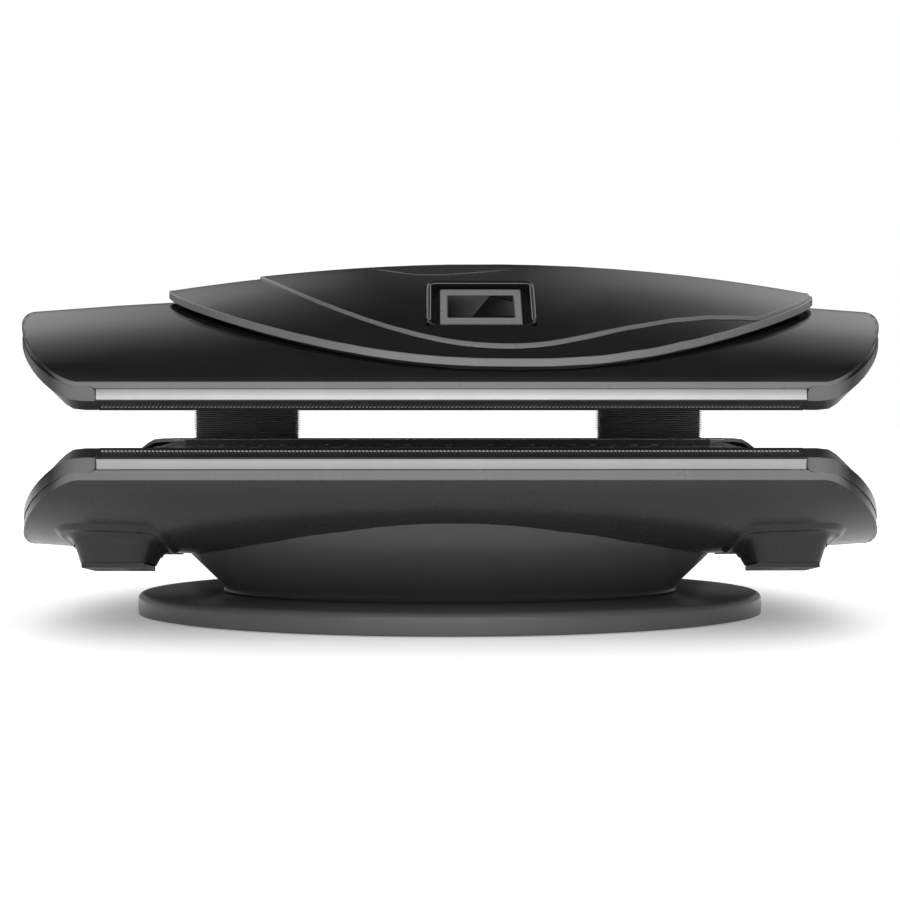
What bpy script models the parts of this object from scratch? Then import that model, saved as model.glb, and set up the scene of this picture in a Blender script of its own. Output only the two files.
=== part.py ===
"""Red light therapy bed: a lower bed and a lifting canopy on two rear columns.

Metres, +Z up, +X along the bed, -Y towards the user's side.
The origin is on the floor, under the middle of the floor disc.
"""
import math
from collections import namedtuple

import bmesh
import bpy
from mathutils import Matrix, Vector

# Overall sizes
LENGTH = 2.20
DEPTH = 1.157
END_BOW = 0.213
CORNER_POWER = 2.36
RIM_HEIGHT = 0.4625
RIM_GAP = 0.0891
CLEAR = 0.0003
WELD = 1e-6
NUDGE = 1e-4
SHARP_ANGLE = math.radians(35.0)

# Rim bands, measured from the ridge of the rim towards the shell
STRIP_RISE = 0.0225
RAIL_FACE = 0.028
BED_LIP = 0.025
CANOPY_LIP = 0.017
RIDGE_INSET = 0.0385
RAIL_WALL = 0.003
RAIL_TUCK = 0.0025
RAIL_STEPS = 4
STRIP_WALL = 0.0025
CAP_LEAD = 0.0465
CAP_WALL = 0.003
CAP_RETURN = 0.012
CAP_GAP = 0.006
SEAM = 0.0006

# Barrel form of the shells
SHELL_RISE = 0.2409
END_DROP = 0.0455
BARREL_POWER = 0.66
SHELL_WALL = 0.004

# Light tunnel
ACRYLIC_WALL = 0.004
ACRYLIC_EDGE = 0.014
ACRYLIC_RISE = 0.193
ACRYLIC_LEG = 0.010
ACRYLIC_END_INSET = 0.045
LED_WALL = 0.003
LED_EDGE = 0.092
LED_RISE = 0.141
LED_SIDE_INSET = 0.095
LED_END_INSET = 0.075
RIB_WIDTH = 0.025
RIB_SPACING = 0.60
RIB_SIDE_INSET = 0.18
TIE_END_INSET = 0.12
FACET = 0.0014
TRIM_LAP = 0.008

# Floor disc and pedestal
DISC_HALF_LENGTH = 0.845
DISC_HALF_DEPTH = 0.493
DISC_THICKNESS = 0.0545
DISC_EDGE_RADIUS = 0.016
PAD_THICKNESS = 0.004
PAD_MARGIN = 0.02
PEDESTAL_TOP_HALF_LENGTH = 0.712
PEDESTAL_TOP_HALF_DEPTH = 0.486
PEDESTAL_FOOT_HALF_LENGTH = 0.597
PEDESTAL_FOOT_HALF_DEPTH = 0.287
PEDESTAL_BULGE = 1.45
PEDESTAL_FILLET = 0.014
TOE_SHARE = 0.04
FILLET_SHARE = 0.18
PEDESTAL_WALL = 0.005

# Chassis
POST_LENGTH = 0.50
POST_DEPTH = 0.20
POST_WALL = 0.006
ARM_SPACING = 0.36
ARM_WIDTH = 0.06
BEAM_BOTTOM = 0.095
BEAM_TOP = 0.135
BEAM_HALF_LENGTH = 0.80
BEAM_DEPTH = 0.10
ARM_STEP = 0.002

# Lift columns
COLUMN_X = 0.63
COLUMN_LENGTH = 0.20
COLUMN_DEPTH = 0.10
COLUMN_WALL = 0.005
COLUMN_RUN = 0.0005
COLUMN_SETBACK = 0.1065
MIDDLE_FOOT = 0.012
MIDDLE_TOP = 0.040
NUT_THICKNESS = 0.008
INNER_FOOT = 0.008
INNER_HEAD = 0.030
SCREW_RADIUS = 0.010
SCREW_TOP_DROP = 0.020
SCREW_RUN = 0.0003
MOTOR_RADIUS = 0.032
MOTOR_LENGTH = 0.13
MOTOR_LIFT = 0.03

# Bellows
BELLOWS_LENGTH = 0.32
BELLOWS_DEPTH = 0.17
BELLOWS_CHAMFER = 0.022
BELLOWS_PLEATS = 13
PLEAT_DEPTH = 0.012
BELLOWS_WALL = 0.0015

# Rear housings
CONSOLE_HALF_LENGTH = 0.795
CONSOLE_DEPTH = 0.206
CONSOLE_TOP_DROP = 0.0103
CONSOLE_WALL = 0.006
CONSOLE_KNEE = 0.25
CONSOLE_FOOT_IN = 0.05
CONSOLE_FRONT_KNEE = 0.365
CARRIER_HEIGHT = 0.075
CARRIER_LAP = 0.030
INLET_WIDTH = 0.10
INLET_HEIGHT = 0.045
INLET_THICKNESS = 0.009
INLET_X = -0.30
INLET_Z = 0.33
SOCKET_WIDTH = 0.026
SOCKET_HEIGHT = 0.020
SOCKET_DEPTH = 0.006
ROCKER_WIDTH = 0.020
ROCKER_HEIGHT = 0.026
ROCKER_THICKNESS = 0.008
ROCKER_PROUD = 0.004
ROCKER_CLEAR = 0.0005
SUPPLY_LENGTH = 0.40
SUPPLY_DEPTH = 0.09
SUPPLY_HEIGHT = 0.14

# Exhaust ducts
DUCT_END_INSET = 0.2595
DUCT_SIDE_INSET = 0.27
DUCT_DROP = 0.3025
DUCT_TILT = math.radians(9.0)
DUCT_HALF_LENGTH = 0.0865
DUCT_HALF_DEPTH = 0.0915
DUCT_FLARE = 0.036
DUCT_WAIST = (0.75, 0.50)
DUCT_WALL = 0.003
DUCT_CORNER_POWER = 5.0
GUARD_INSET = 0.009
GUARD_DEPTH = 0.012
GUARD_WALL = 0.003
GUARD_SLOTS = 7
GUARD_SLOT_WIDTH = 0.008
GUARD_HUB_RADIUS = 0.018
GUARD_HUB_HEIGHT = 0.010
FAN_RADIUS = 0.056
FAN_HUB_RADIUS = 0.020
FAN_HUB_HEIGHT = 0.024
FAN_BLADES = 5
FAN_CHORD = 0.030
FAN_PITCH = math.radians(32.0)
FAN_BLADE_WALL = 0.0025
AIRWAY_RADIUS = 0.060

# Hood
HOOD_X = 0.1537
HOOD_LEFT = 0.8987
HOOD_RIGHT = 0.8033
HOOD_HALF_DEPTH = 0.574
HOOD_POWER = 2.64
HOOD_GAP = 0.012
HOOD_LIP = 0.019
HOOD_DOME = 0.046
DOME_POWER = 1.95
HOOD_WALL = 0.004
COVER_WALL = 0.0025
COVER_X = 0.14
COVER_LEFT = 0.648
COVER_HALF_DEPTH = 0.552
COVER_POWER = 2.2
COVER_TAIL = 0.62
COVER_TAIL_DEPTH = 0.447
COVER_MARGIN = 0.011
COVER_STEP = 0.006
COVER_EDGE_REACH = 0.0033
BOSS_RADIUS = 0.012
BOSS_SPACING_X = 1.0
BOSS_SPACING_Y = 0.60

# Display
DISPLAY_X = 0.072
DISPLAY_Y = -0.4335
DISPLAY_TILT = math.radians(38.0)
TRAY_WIDTH = 0.265
TRAY_HEIGHT = 0.195
TRAY_DEPTH = 0.028
TRAY_WALL = 0.005
TRAY_FLOOR = 0.006
TRAY_SINK = 0.004
TRAY_FIT = 0.0006
FRAME_WIDTH = 0.20
FRAME_HEIGHT = 0.15
FRAME_THICKNESS = 0.014
GLASS_WIDTH = 0.162
GLASS_HEIGHT = 0.092
GLASS_THICKNESS = 0.004
GLASS_REST = 0.003

# Mesh steps
SHELL_STEPS = (10, 18)
PANEL_STEPS = (8, 14)
CAP_STEPS = 36
HOOD_STEPS = 24
EDGE_SEARCH_STEPS = 30
ROUND_STEPS = 72
PEDESTAL_SHARES = (TOE_SHARE, 0.07, 0.11, FILLET_SHARE, 0.4, 0.7, 1.0)
DUCT_STEPS = 32
SMALL_ROUND = 16
EDGE_STEPS = 4
RIB_STEPS = 16
TIE_STEPS = 8

# Values worked out from the sizes above
HALF_LENGTH = LENGTH / 2
HALF_DEPTH = DEPTH / 2
STRAIGHT = HALF_LENGTH - END_BOW
RAIL_HALF_LENGTH = STRAIGHT - CAP_LEAD
RAIL_BOTTOM = STRIP_RISE + RAIL_FACE
DISC_BOTTOM = PAD_THICKNESS + CLEAR
DISC_TOP = DISC_BOTTOM + DISC_THICKNESS
COLUMN_Y = HALF_DEPTH + COLUMN_SETBACK
CONSOLE_TOP = RIM_HEIGHT - CONSOLE_TOP_DROP
CONSOLE_FRONT = HALF_DEPTH + CLEAR
CONSOLE_BACK = CONSOLE_FRONT + CONSOLE_DEPTH
COLUMN_BOTTOM = BEAM_TOP + CLEAR
COLUMN_TOP = CONSOLE_TOP - CLEAR
DUCT_X = HALF_LENGTH - DUCT_END_INSET
DUCT_Y = HALF_DEPTH - DUCT_SIDE_INSET
DUCT_MOUTH_Z = RIM_HEIGHT - DUCT_DROP

Half = namedtuple("Half", "prefix sign ridge lip")
BED = Half("bed", -1, RIM_HEIGHT, BED_LIP)
CANOPY = Half("canopy", 1, RIM_HEIGHT + RIM_GAP, CANOPY_LIP)
CARRIER_BOTTOM = CANOPY.ridge + CLEAR
BELLOWS_BOTTOM = CONSOLE_TOP + CLEAR
BELLOWS_TOP = CARRIER_BOTTOM - CLEAR

SIDES = (("left", -1), ("right", 1))

Finish = namedtuple("Finish", "colour roughness metallic")
GLOSS_BLACK = Finish((0.012, 0.012, 0.013), 0.16, 0.0)
SATIN_BLACK = Finish((0.035, 0.035, 0.037), 0.38, 0.0)
DARK_GREY = Finish((0.07, 0.07, 0.073), 0.42, 0.0)
ALUMINIUM = Finish((0.62, 0.62, 0.63), 0.35, 1.0)
STEEL = Finish((0.10, 0.10, 0.11), 0.45, 0.6)
RUBBER = Finish((0.02, 0.02, 0.02), 0.8, 0.0)
ACRYLIC = Finish((0.80, 0.82, 0.83), 0.12, 0.0)
CIRCUIT = Finish((0.75, 0.10, 0.08), 0.5, 0.0)
GLASS = Finish((0.01, 0.01, 0.012), 0.08, 0.0)


def clear_scene():
    """Remove every object that the file starts with."""
    for obj in list(bpy.data.objects):
        bpy.data.objects.remove(obj, do_unlink=True)


def new_collection(name):
    """Make a collection in the scene and return it."""
    made = bpy.data.collections.new(name)
    bpy.context.scene.collection.children.link(made)
    return made


def principled(name, finish):
    """Make a Principled material with one finish."""
    made = bpy.data.materials.new(name)
    made.use_nodes = True
    shader = made.node_tree.nodes["Principled BSDF"]
    shader.inputs["Base Color"].default_value = (*finish.colour, 1.0)
    shader.inputs["Roughness"].default_value = finish.roughness
    shader.inputs["Metallic"].default_value = finish.metallic
    return made


def add_part(name, mesh, finish, matrix=None):
    """Add a named sub-part with its own material."""
    obj = bpy.data.objects.new(name, mesh)
    PARTS.objects.link(obj)
    if matrix is not None:
        obj.matrix_world = matrix
    obj.data.materials.clear()
    obj.data.materials.append(principled(name, finish))
    mesh.shade_smooth()
    mesh.set_sharp_from_angle(angle=SHARP_ANGLE)
    return obj


def add_cutter(name, mesh, matrix=None):
    """Add a body that only cuts or joins another."""
    obj = bpy.data.objects.new(name, mesh)
    CUTTERS.objects.link(obj)
    if matrix is not None:
        obj.matrix_world = matrix
    obj.hide_render = True
    obj.display_type = "WIRE"
    return obj


def boolean(obj, tool, operation):
    """Cut or join a sub-part with a tool body."""
    step = obj.modifiers.new(operation.lower() + "_" + tool.name, "BOOLEAN")
    step.operation = operation
    step.object = tool


def solidify(obj, wall):
    """Thicken an open surface inwards."""
    step = obj.modifiers.new("wall", "SOLIDIFY")
    step.thickness = wall
    step.offset = -1.0


def mesh_from(name, work):
    """Turn a finished bmesh into a mesh."""
    mesh = bpy.data.meshes.new(name)
    work.to_mesh(mesh)
    work.free()
    return mesh


def box_mesh(name, low, high):
    """Make a box between two corners."""
    work = bmesh.new()
    bmesh.ops.create_cube(work, size=1.0)
    middle = (Vector(low) + Vector(high)) / 2
    size = Vector(high) - Vector(low)
    bmesh.ops.scale(work, vec=size, verts=work.verts)
    bmesh.ops.translate(work, vec=middle, verts=work.verts)
    return mesh_from(name, work)


def round_mesh(name, radius, low, high, steps):
    """Make an upright cylinder on the Z axis."""
    work = bmesh.new()
    bmesh.ops.create_cone(work, cap_ends=True, segments=steps, radius1=radius, radius2=radius,
                          depth=high - low)
    bmesh.ops.translate(work, vec=(0.0, 0.0, (low + high) / 2), verts=work.verts)
    return mesh_from(name, work)


def baked_mesh(obj):
    """Return an object's evaluated mesh, with its loose caps welded."""
    graph = bpy.context.evaluated_depsgraph_get()
    mesh = bpy.data.meshes.new_from_object(obj.evaluated_get(graph))
    work = bmesh.new()
    work.from_mesh(mesh)
    bmesh.ops.remove_doubles(work, verts=work.verts, dist=WELD)
    work.to_mesh(mesh)
    work.free()
    return mesh


def prism_mesh(name, outline, half_length):
    """Extrude a (y, z) outline along X, equally to both sides."""
    curve = bpy.data.curves.new(name, "CURVE")
    curve.dimensions = "2D"
    curve.fill_mode = "BOTH"
    curve.extrude = half_length
    spline = curve.splines.new("POLY")
    spline.points.add(len(outline) - 1)
    for point, (y, z) in zip(spline.points, outline):
        point.co = (y, z, 0.0, 1.0)
    spline.use_cyclic_u = True
    guide = bpy.data.objects.new(name, curve)
    CUTTERS.objects.link(guide)
    mesh = baked_mesh(guide)
    bpy.data.objects.remove(guide, do_unlink=True)
    mesh.transform(Matrix(((0, 0, 1, 0), (1, 0, 0, 0), (0, 1, 0, 0), (0, 0, 0, 1))))
    return mesh


def inset_outline(outline, distance):
    """Move each side of a convex outline inwards by a distance."""
    count = len(outline)
    area = sum(Vector(outline[i - 1]).cross(Vector(outline[i])) for i in range(count))
    turn = 1.0 if area > 0 else -1.0
    lines = []
    for i in range(count):
        start = Vector(outline[i])
        along = (Vector(outline[(i + 1) % count]) - start).normalized()
        inward = Vector((-along.y, along.x)) * turn
        lines.append((start + inward * distance, along))
    points = []
    for i in range(count):
        (p, d), (q, e) = lines[i - 1], lines[i]
        cross = d.x * e.y - d.y * e.x
        share = ((q.x - p.x) * e.y - (q.y - p.y) * e.x) / cross
        points.append(tuple(p + d * share))
    return points


def plan_end(y, half_depth, inset=0.0):
    """Half-length of the bowed plan at a distance y from the middle line."""
    share = min(abs(y) / half_depth, 1.0)
    return STRAIGHT - inset + END_BOW * (1.0 - share ** CORNER_POWER) ** (1.0 / CORNER_POWER)


def barrel(x, y, half_depth, rise):
    """Height of the barrel form above its edge."""
    share = max(0.0, 1.0 - (y / half_depth) ** 2)
    return (rise - END_DROP * (x / HALF_LENGTH) ** 2) * share ** BARREL_POWER


def shell_z(half, x, y):
    """Outer surface of a bed or canopy shell."""
    edge = RAIL_BOTTOM + CLEAR + half.lip
    return half.ridge + half.sign * (edge + barrel(x, y, HALF_DEPTH, SHELL_RISE))


def led_z(half, x, y):
    """Outer surface of an LED panel, the side away from the user."""
    half_depth = HALF_DEPTH - LED_SIDE_INSET
    return half.ridge + half.sign * (LED_EDGE + barrel(x, y, half_depth, LED_RISE))


def acrylic_z(half, x, y):
    """Outer surface of an acrylic panel, the side away from the user."""
    half_depth = HALF_DEPTH - RIDGE_INSET - CLEAR
    return half.ridge + half.sign * (ACRYLIC_EDGE + barrel(x, y, half_depth, ACRYLIC_RISE))


def barrel_sheet(name, half, surface, half_depth, end_inset, steps, skirt, skirt_all):
    """Map a grid onto a barrel surface, with a skirt along its edges."""
    work = bmesh.new()
    bmesh.ops.create_grid(work, x_segments=steps[0], y_segments=steps[1], size=1.0)
    for vert in work.verts:
        y = half_depth * math.sin(vert.co.y * math.pi / 2)
        x = vert.co.x * plan_end(y, half_depth, end_inset)
        vert.co = (x, y, surface(half, x, y))
    bmesh.ops.triangulate(work, faces=work.faces, quad_method="FIXED")
    if half.sign < 0:
        bmesh.ops.reverse_faces(work, faces=work.faces)
    if skirt > 0.0:
        edge_y = half_depth - WELD
        rims = [e for e in work.edges if e.is_boundary
                and (skirt_all or all(abs(v.co.y) > edge_y for v in e.verts))]
        made = bmesh.ops.extrude_edge_only(work, edges=rims)["geom"]
        fresh = [v for v in made if isinstance(v, bmesh.types.BMVert)]
        bmesh.ops.translate(work, vec=(0.0, 0.0, -half.sign * skirt), verts=fresh)
    return mesh_from(name, work)


def block_between(name, x_span, y_span, steps, low, high):
    """Make a block whose underside and top follow two surfaces."""
    work = bmesh.new()
    bmesh.ops.create_grid(work, x_segments=steps[0], y_segments=steps[1], size=1.0)
    for vert in work.verts:
        x = x_span[0] + (x_span[1] - x_span[0]) * (vert.co.x + 1.0) / 2
        y = y_span[0] + (y_span[1] - y_span[0]) * (vert.co.y + 1.0) / 2
        vert.co = (x, y, low(x, y))
    made = bmesh.ops.extrude_face_region(work, geom=work.faces[:])["geom"]
    for vert in (v for v in made if isinstance(v, bmesh.types.BMVert)):
        vert.co.z = high(vert.co.x, vert.co.y)
    bmesh.ops.recalc_face_normals(work, faces=work.faces)
    return mesh_from(name, work)


def post_between(name, x, y, radius, low, high):
    """Make a round post whose ends follow two surfaces."""
    work = bmesh.new()
    bmesh.ops.create_cone(work, cap_ends=True, segments=SMALL_ROUND, radius1=radius, radius2=radius,
                          depth=2.0)
    for vert in work.verts:
        place = Vector((x + vert.co.x, y + vert.co.y))
        surface = high if vert.co.z > 0.0 else low
        vert.co = (place.x, place.y, surface(place.x, place.y))
    return mesh_from(name, work)


def ring_edges(made, ring):
    """Edges of a fresh ring, out of what an extrusion made."""
    return [e for e in made if isinstance(e, bmesh.types.BMEdge) and all(v in ring for v in e.verts)]


def turned_mesh(name, profile, stretch_y, steps):
    """Turn a profile about Z and stretch it into an oval."""
    mesh = bpy.data.meshes.new(name)
    points = [(x, 0.0, z) for x, z in profile]
    mesh.from_pydata(points, [(i, i + 1) for i in range(len(points) - 1)], [])
    guide = bpy.data.objects.new(name, mesh)
    CUTTERS.objects.link(guide)
    screw = guide.modifiers.new("turn", "SCREW")
    screw.steps = steps
    screw.render_steps = steps
    screw.use_merge_vertices = True
    screw.merge_threshold = WELD
    made = baked_mesh(guide)
    bpy.data.objects.remove(guide, do_unlink=True)
    made.transform(Matrix.Diagonal((1.0, stretch_y, 1.0, 1.0)))
    return made


def build_shell(half):
    """Outer shell of one half, with its lip folded towards the rim."""
    mesh = barrel_sheet(half.prefix + "_shell", half, shell_z, HALF_DEPTH, 0.0, SHELL_STEPS, half.lip,
                        True)
    shell = add_part(half.prefix + "_shell", mesh, GLOSS_BLACK if half.sign > 0 else SATIN_BLACK)
    solidify(shell, SHELL_WALL)
    return shell


def rim_point(half, inset, drop):
    """Section point of the front rim, as (y, z)."""
    return (-HALF_DEPTH + inset, half.ridge + half.sign * drop)


def build_rails(half):
    """Aluminium rails with the dark vent strips on their sloping face."""
    slope = Vector((RIDGE_INSET, -STRIP_RISE)).normalized()
    normal = Vector((-slope.y, slope.x))

    def sloped(inset, depth):
        """Point at an inset from the rail's face, a depth below the strip's top."""
        top = Vector((0.0, STRIP_RISE)) + normal * depth
        return tuple(top + slope * ((inset - top.x) / slope.x))

    seat = STRIP_WALL + CLEAR
    strip = [sloped(SEAM, 0.0), sloped(RIDGE_INSET, 0.0), sloped(RIDGE_INSET, STRIP_WALL),
             sloped(SEAM, STRIP_WALL)]
    top = sloped(0.0, seat)
    shares = [i / RAIL_STEPS for i in range(RAIL_STEPS + 1)]
    rail = [(RAIL_TUCK * share ** 2, top[1] + (RAIL_BOTTOM - top[1]) * share) for share in shares]
    inner = RAIL_WALL + RAIL_TUCK
    rail += [(RIDGE_INSET, RAIL_BOTTOM), (RIDGE_INSET, RAIL_BOTTOM - RAIL_WALL),
             (inner, RAIL_BOTTOM - RAIL_WALL), sloped(RAIL_WALL, seat + RAIL_WALL),
             sloped(RIDGE_INSET, seat + RAIL_WALL), sloped(RIDGE_INSET, seat)]
    for place, mirror in (("front", 1), ("rear", -1)):
        for label, outline, finish in (("rail", rail, ALUMINIUM), ("strip", strip, SATIN_BLACK)):
            name = half.prefix + "_" + place + "_" + label
            points = [rim_point(half, p[0], p[1]) for p in outline]
            points = [(y * mirror, z) for y, z in points]
            add_part(name, outward(prism_mesh(name, points, RAIL_HALF_LENGTH)), finish)


def outward(mesh):
    """Turn a closed mesh's faces to point out."""
    work = bmesh.new()
    work.from_mesh(mesh)
    bmesh.ops.recalc_face_normals(work, faces=work.faces)
    work.to_mesh(mesh)
    work.free()
    return mesh


def plan_outline(share):
    """Point and inward normal on the right-hand end of the plan, from front (0) to rear (1)."""
    start = RAIL_HALF_LENGTH + SEAM
    lead = STRAIGHT - start

    def place(t):
        if t <= 0.0:
            return Vector((STRAIGHT + t, -HALF_DEPTH))
        if t >= 1.0:
            return Vector((STRAIGHT - (t - 1.0), HALF_DEPTH))
        angle = (t - 0.5) * math.pi
        power = 2.0 / CORNER_POWER
        y = math.copysign(abs(math.sin(angle)) ** power, angle) * HALF_DEPTH
        return Vector((STRAIGHT + END_BOW * math.cos(angle) ** power, y))

    t = share * (1.0 + 2.0 * lead) - lead
    along = (place(t + NUDGE) - place(t - NUDGE)).normalized()
    return place(t), Vector((-along.y, along.x))


def build_end_caps(half):
    """End caps that carry the rim round the bowed ends and along the tunnel's mouth."""
    rows = ((0.0, RAIL_BOTTOM - CAP_GAP), (0.0, STRIP_RISE), (RIDGE_INSET - CAP_RETURN / 2, CAP_WALL / 4),
            (RIDGE_INSET, CAP_WALL), (RIDGE_INSET, CAP_RETURN))
    for side, mirror in SIDES:
        name = half.prefix + "_end_cap_" + side
        work = bmesh.new()
        bmesh.ops.create_grid(work, x_segments=CAP_STEPS, y_segments=len(rows) - 1, size=1.0)
        for vert in work.verts:
            point, inward = plan_outline((vert.co.x + 1.0) / 2)
            inset, drop = rows[round((vert.co.y + 1.0) / 2 * (len(rows) - 1))]
            lift = barrel(point.x, point.y, HALF_DEPTH, SHELL_RISE)
            place = point + inward * inset
            vert.co = (place.x * mirror, place.y, half.ridge + half.sign * (drop + lift))
        if half.sign * mirror > 0:
            bmesh.ops.reverse_faces(work, faces=work.faces)
        cap = add_part(name, mesh_from(name, work), DARK_GREY)
        solidify(cap, CAP_WALL)


def build_panels(half):
    """Acrylic panel and the LED panel behind it."""
    half_depth = HALF_DEPTH - RIDGE_INSET - CLEAR
    mesh = barrel_sheet(half.prefix + "_acrylic", half, acrylic_z, half_depth, ACRYLIC_END_INSET,
                        PANEL_STEPS, ACRYLIC_LEG, False)
    solidify(add_part(half.prefix + "_acrylic", mesh, ACRYLIC), ACRYLIC_WALL)
    mesh = barrel_sheet(half.prefix + "_led_panel", half, led_z, HALF_DEPTH - LED_SIDE_INSET,
                        LED_END_INSET, PANEL_STEPS, 0.0, False)
    solidify(add_part(half.prefix + "_led_panel", mesh, CIRCUIT), LED_WALL)


def build_formers(half):
    """Three formers and a tie between the LED panel and the shell, as one frame."""

    def near_shell(x, y):
        slope = (shell_z(half, x, y + NUDGE) - shell_z(half, x, y - NUDGE)) / (2 * NUDGE)
        return shell_z(half, x, y) - half.sign * (SHELL_WALL * math.hypot(1.0, slope) + FACET + CLEAR)

    def near_panel(x, y):
        return led_z(half, x, y) + half.sign * (FACET + CLEAR)

    low, high = (near_panel, near_shell) if half.sign > 0 else (near_shell, near_panel)
    reach = HALF_DEPTH - RIB_SIDE_INSET
    tie_reach = HALF_LENGTH - TIE_END_INSET
    name = half.prefix + "_frame"
    half_rib = RIB_WIDTH / 2
    tie = block_between(name, (-tie_reach, tie_reach), (-half_rib, half_rib), (TIE_STEPS, 1), low, high)
    frame = add_part(name, tie, STEEL)
    for index in (-1, 0, 1):
        x = index * RIB_SPACING
        label = name + "_rib_" + str(index + 1)
        rib = block_between(label, (x - half_rib, x + half_rib), (-reach, reach), (1, RIB_STEPS), low, high)
        boolean(frame, add_cutter(label, rib), "UNION")


def build_disc():
    """Oval floor disc with a rounded top edge, on a rubber pad."""
    corner = [(DISC_HALF_LENGTH - DISC_EDGE_RADIUS * (1 - math.sin(a)),
               DISC_TOP - DISC_EDGE_RADIUS * (1 - math.cos(a)))
              for a in (i * math.pi / 2 / EDGE_STEPS for i in range(EDGE_STEPS + 1))]
    profile = [(0.0, DISC_TOP)] + corner + [(DISC_HALF_LENGTH, DISC_BOTTOM), (0.0, DISC_BOTTOM)]
    stretch = DISC_HALF_DEPTH / DISC_HALF_LENGTH
    add_part("base_plate", outward(turned_mesh("base_plate", profile, stretch, ROUND_STEPS)), SATIN_BLACK)
    reach = DISC_HALF_LENGTH - PAD_MARGIN
    pad = [(0.0, PAD_THICKNESS), (reach, PAD_THICKNESS), (reach, 0.0), (0.0, 0.0)]
    stretch = (DISC_HALF_DEPTH - PAD_MARGIN) / reach
    add_part("floor_pad", outward(turned_mesh("floor_pad", pad, stretch, ROUND_STEPS)), RUBBER)


def belly_space():
    """Space that the bed fills, to trim what stands under its shell."""
    mesh = barrel_sheet("belly_space", BED, lambda half, x, y: shell_z(half, x, y) - CLEAR, HALF_DEPTH,
                        0.0, SHELL_STEPS, 0.0, False)
    work = bmesh.new()
    work.from_mesh(mesh)
    made = bmesh.ops.extrude_face_region(work, geom=work.faces[:])["geom"]
    for vert in (v for v in made if isinstance(v, bmesh.types.BMVert)):
        vert.co.z = RIM_HEIGHT
    bmesh.ops.recalc_face_normals(work, faces=work.faces)
    work.to_mesh(mesh)
    work.free()
    return add_cutter("belly_space", mesh)


def build_pedestal(belly):
    """Flared pedestal cover from the floor disc to the belly of the bed."""
    foot = DISC_TOP + CLEAR
    work = bmesh.new()
    bmesh.ops.create_circle(work, segments=ROUND_STEPS, radius=1.0)
    angles = [math.atan2(v.co.y, v.co.x) for v in work.verts]
    ring = list(work.verts)
    edges = list(work.edges)

    def place(angle, share):
        bulge = 1.0 + (PEDESTAL_BULGE - 1.0) * math.sin(angle) ** 2
        spread = 1.0 - (1.0 - share) ** bulge
        left = (FILLET_SHARE - share) / (FILLET_SHARE - TOE_SHARE)
        fillet = PEDESTAL_FILLET * min(1.0, max(0.0, left)) ** 2
        low = Vector((PEDESTAL_FOOT_HALF_LENGTH, PEDESTAL_FOOT_HALF_DEPTH))
        high = Vector((PEDESTAL_TOP_HALF_LENGTH, PEDESTAL_TOP_HALF_DEPTH))
        a, b = low.lerp(high, spread) + Vector((fillet, fillet))
        head = shell_z(BED, PEDESTAL_TOP_HALF_LENGTH * math.cos(angle),
                       PEDESTAL_TOP_HALF_DEPTH * math.sin(angle)) + TRIM_LAP
        return a * math.cos(angle), b * math.sin(angle), foot + (head - foot) * share

    for vert, angle in zip(ring, angles):
        vert.co = place(angle, 0.0)
    for share in PEDESTAL_SHARES:
        made = bmesh.ops.extrude_edge_only(work, edges=edges)["geom"]
        ring = [v for v in made if isinstance(v, bmesh.types.BMVert)]
        edges = ring_edges(made, ring)
        for vert, angle in zip(ring, angles):
            vert.co = place(angle, share)
    bmesh.ops.recalc_face_normals(work, faces=work.faces)
    cover = add_part("pedestal_cover", mesh_from("pedestal_cover", work), SATIN_BLACK)
    solidify(cover, PEDESTAL_WALL)
    boolean(cover, belly, "DIFFERENCE")
    for side, mirror in SIDES:
        x = mirror * ARM_SPACING / 2
        gap = ARM_WIDTH / 2 + CLEAR
        notch = box_mesh("arm_notch_" + side, (x - gap, 0.0, BEAM_BOTTOM), (x + gap, HALF_DEPTH, BEAM_TOP))
        boolean(cover, add_cutter("arm_notch_" + side, notch), "DIFFERENCE")


def post_top():
    """Height of the post's top plate, just under the bed's frame."""
    return shell_z(BED, 0.0, 0.0) + SHELL_WALL + FACET


def build_chassis():
    """Centre post, two arms and the rear beam that carries the lift columns."""
    foot = DISC_TOP + CLEAR
    beam = box_mesh("chassis", (-BEAM_HALF_LENGTH, COLUMN_Y - BEAM_DEPTH / 2, BEAM_BOTTOM),
                    (BEAM_HALF_LENGTH, COLUMN_Y + BEAM_DEPTH / 2, BEAM_TOP))
    chassis = add_part("chassis", beam, STEEL)
    for side, mirror in SIDES:
        x = mirror * ARM_SPACING / 2
        arm = box_mesh("chassis_arm_" + side,
                       (x - ARM_WIDTH / 2, POST_DEPTH / 2 - POST_WALL / 2, BEAM_BOTTOM + ARM_STEP),
                       (x + ARM_WIDTH / 2, COLUMN_Y, BEAM_TOP - ARM_STEP))
        boolean(chassis, add_cutter("chassis_arm_" + side, arm), "UNION")
    half = Vector((POST_LENGTH / 2, POST_DEPTH / 2, 0.0))
    low = Vector((0.0, 0.0, foot))
    high = Vector((0.0, 0.0, post_top()))
    post = add_cutter("chassis_post", box_mesh("chassis_post", low - half, high + half))
    room = half - Vector((POST_WALL, POST_WALL, 0.0))
    spare = Vector((0.0, 0.0, POST_WALL))
    hollow = box_mesh("chassis_post_room", low - room - spare, high + room - spare)
    boolean(post, add_cutter("chassis_post_room", hollow), "DIFFERENCE")
    boolean(chassis, post, "UNION")


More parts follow.
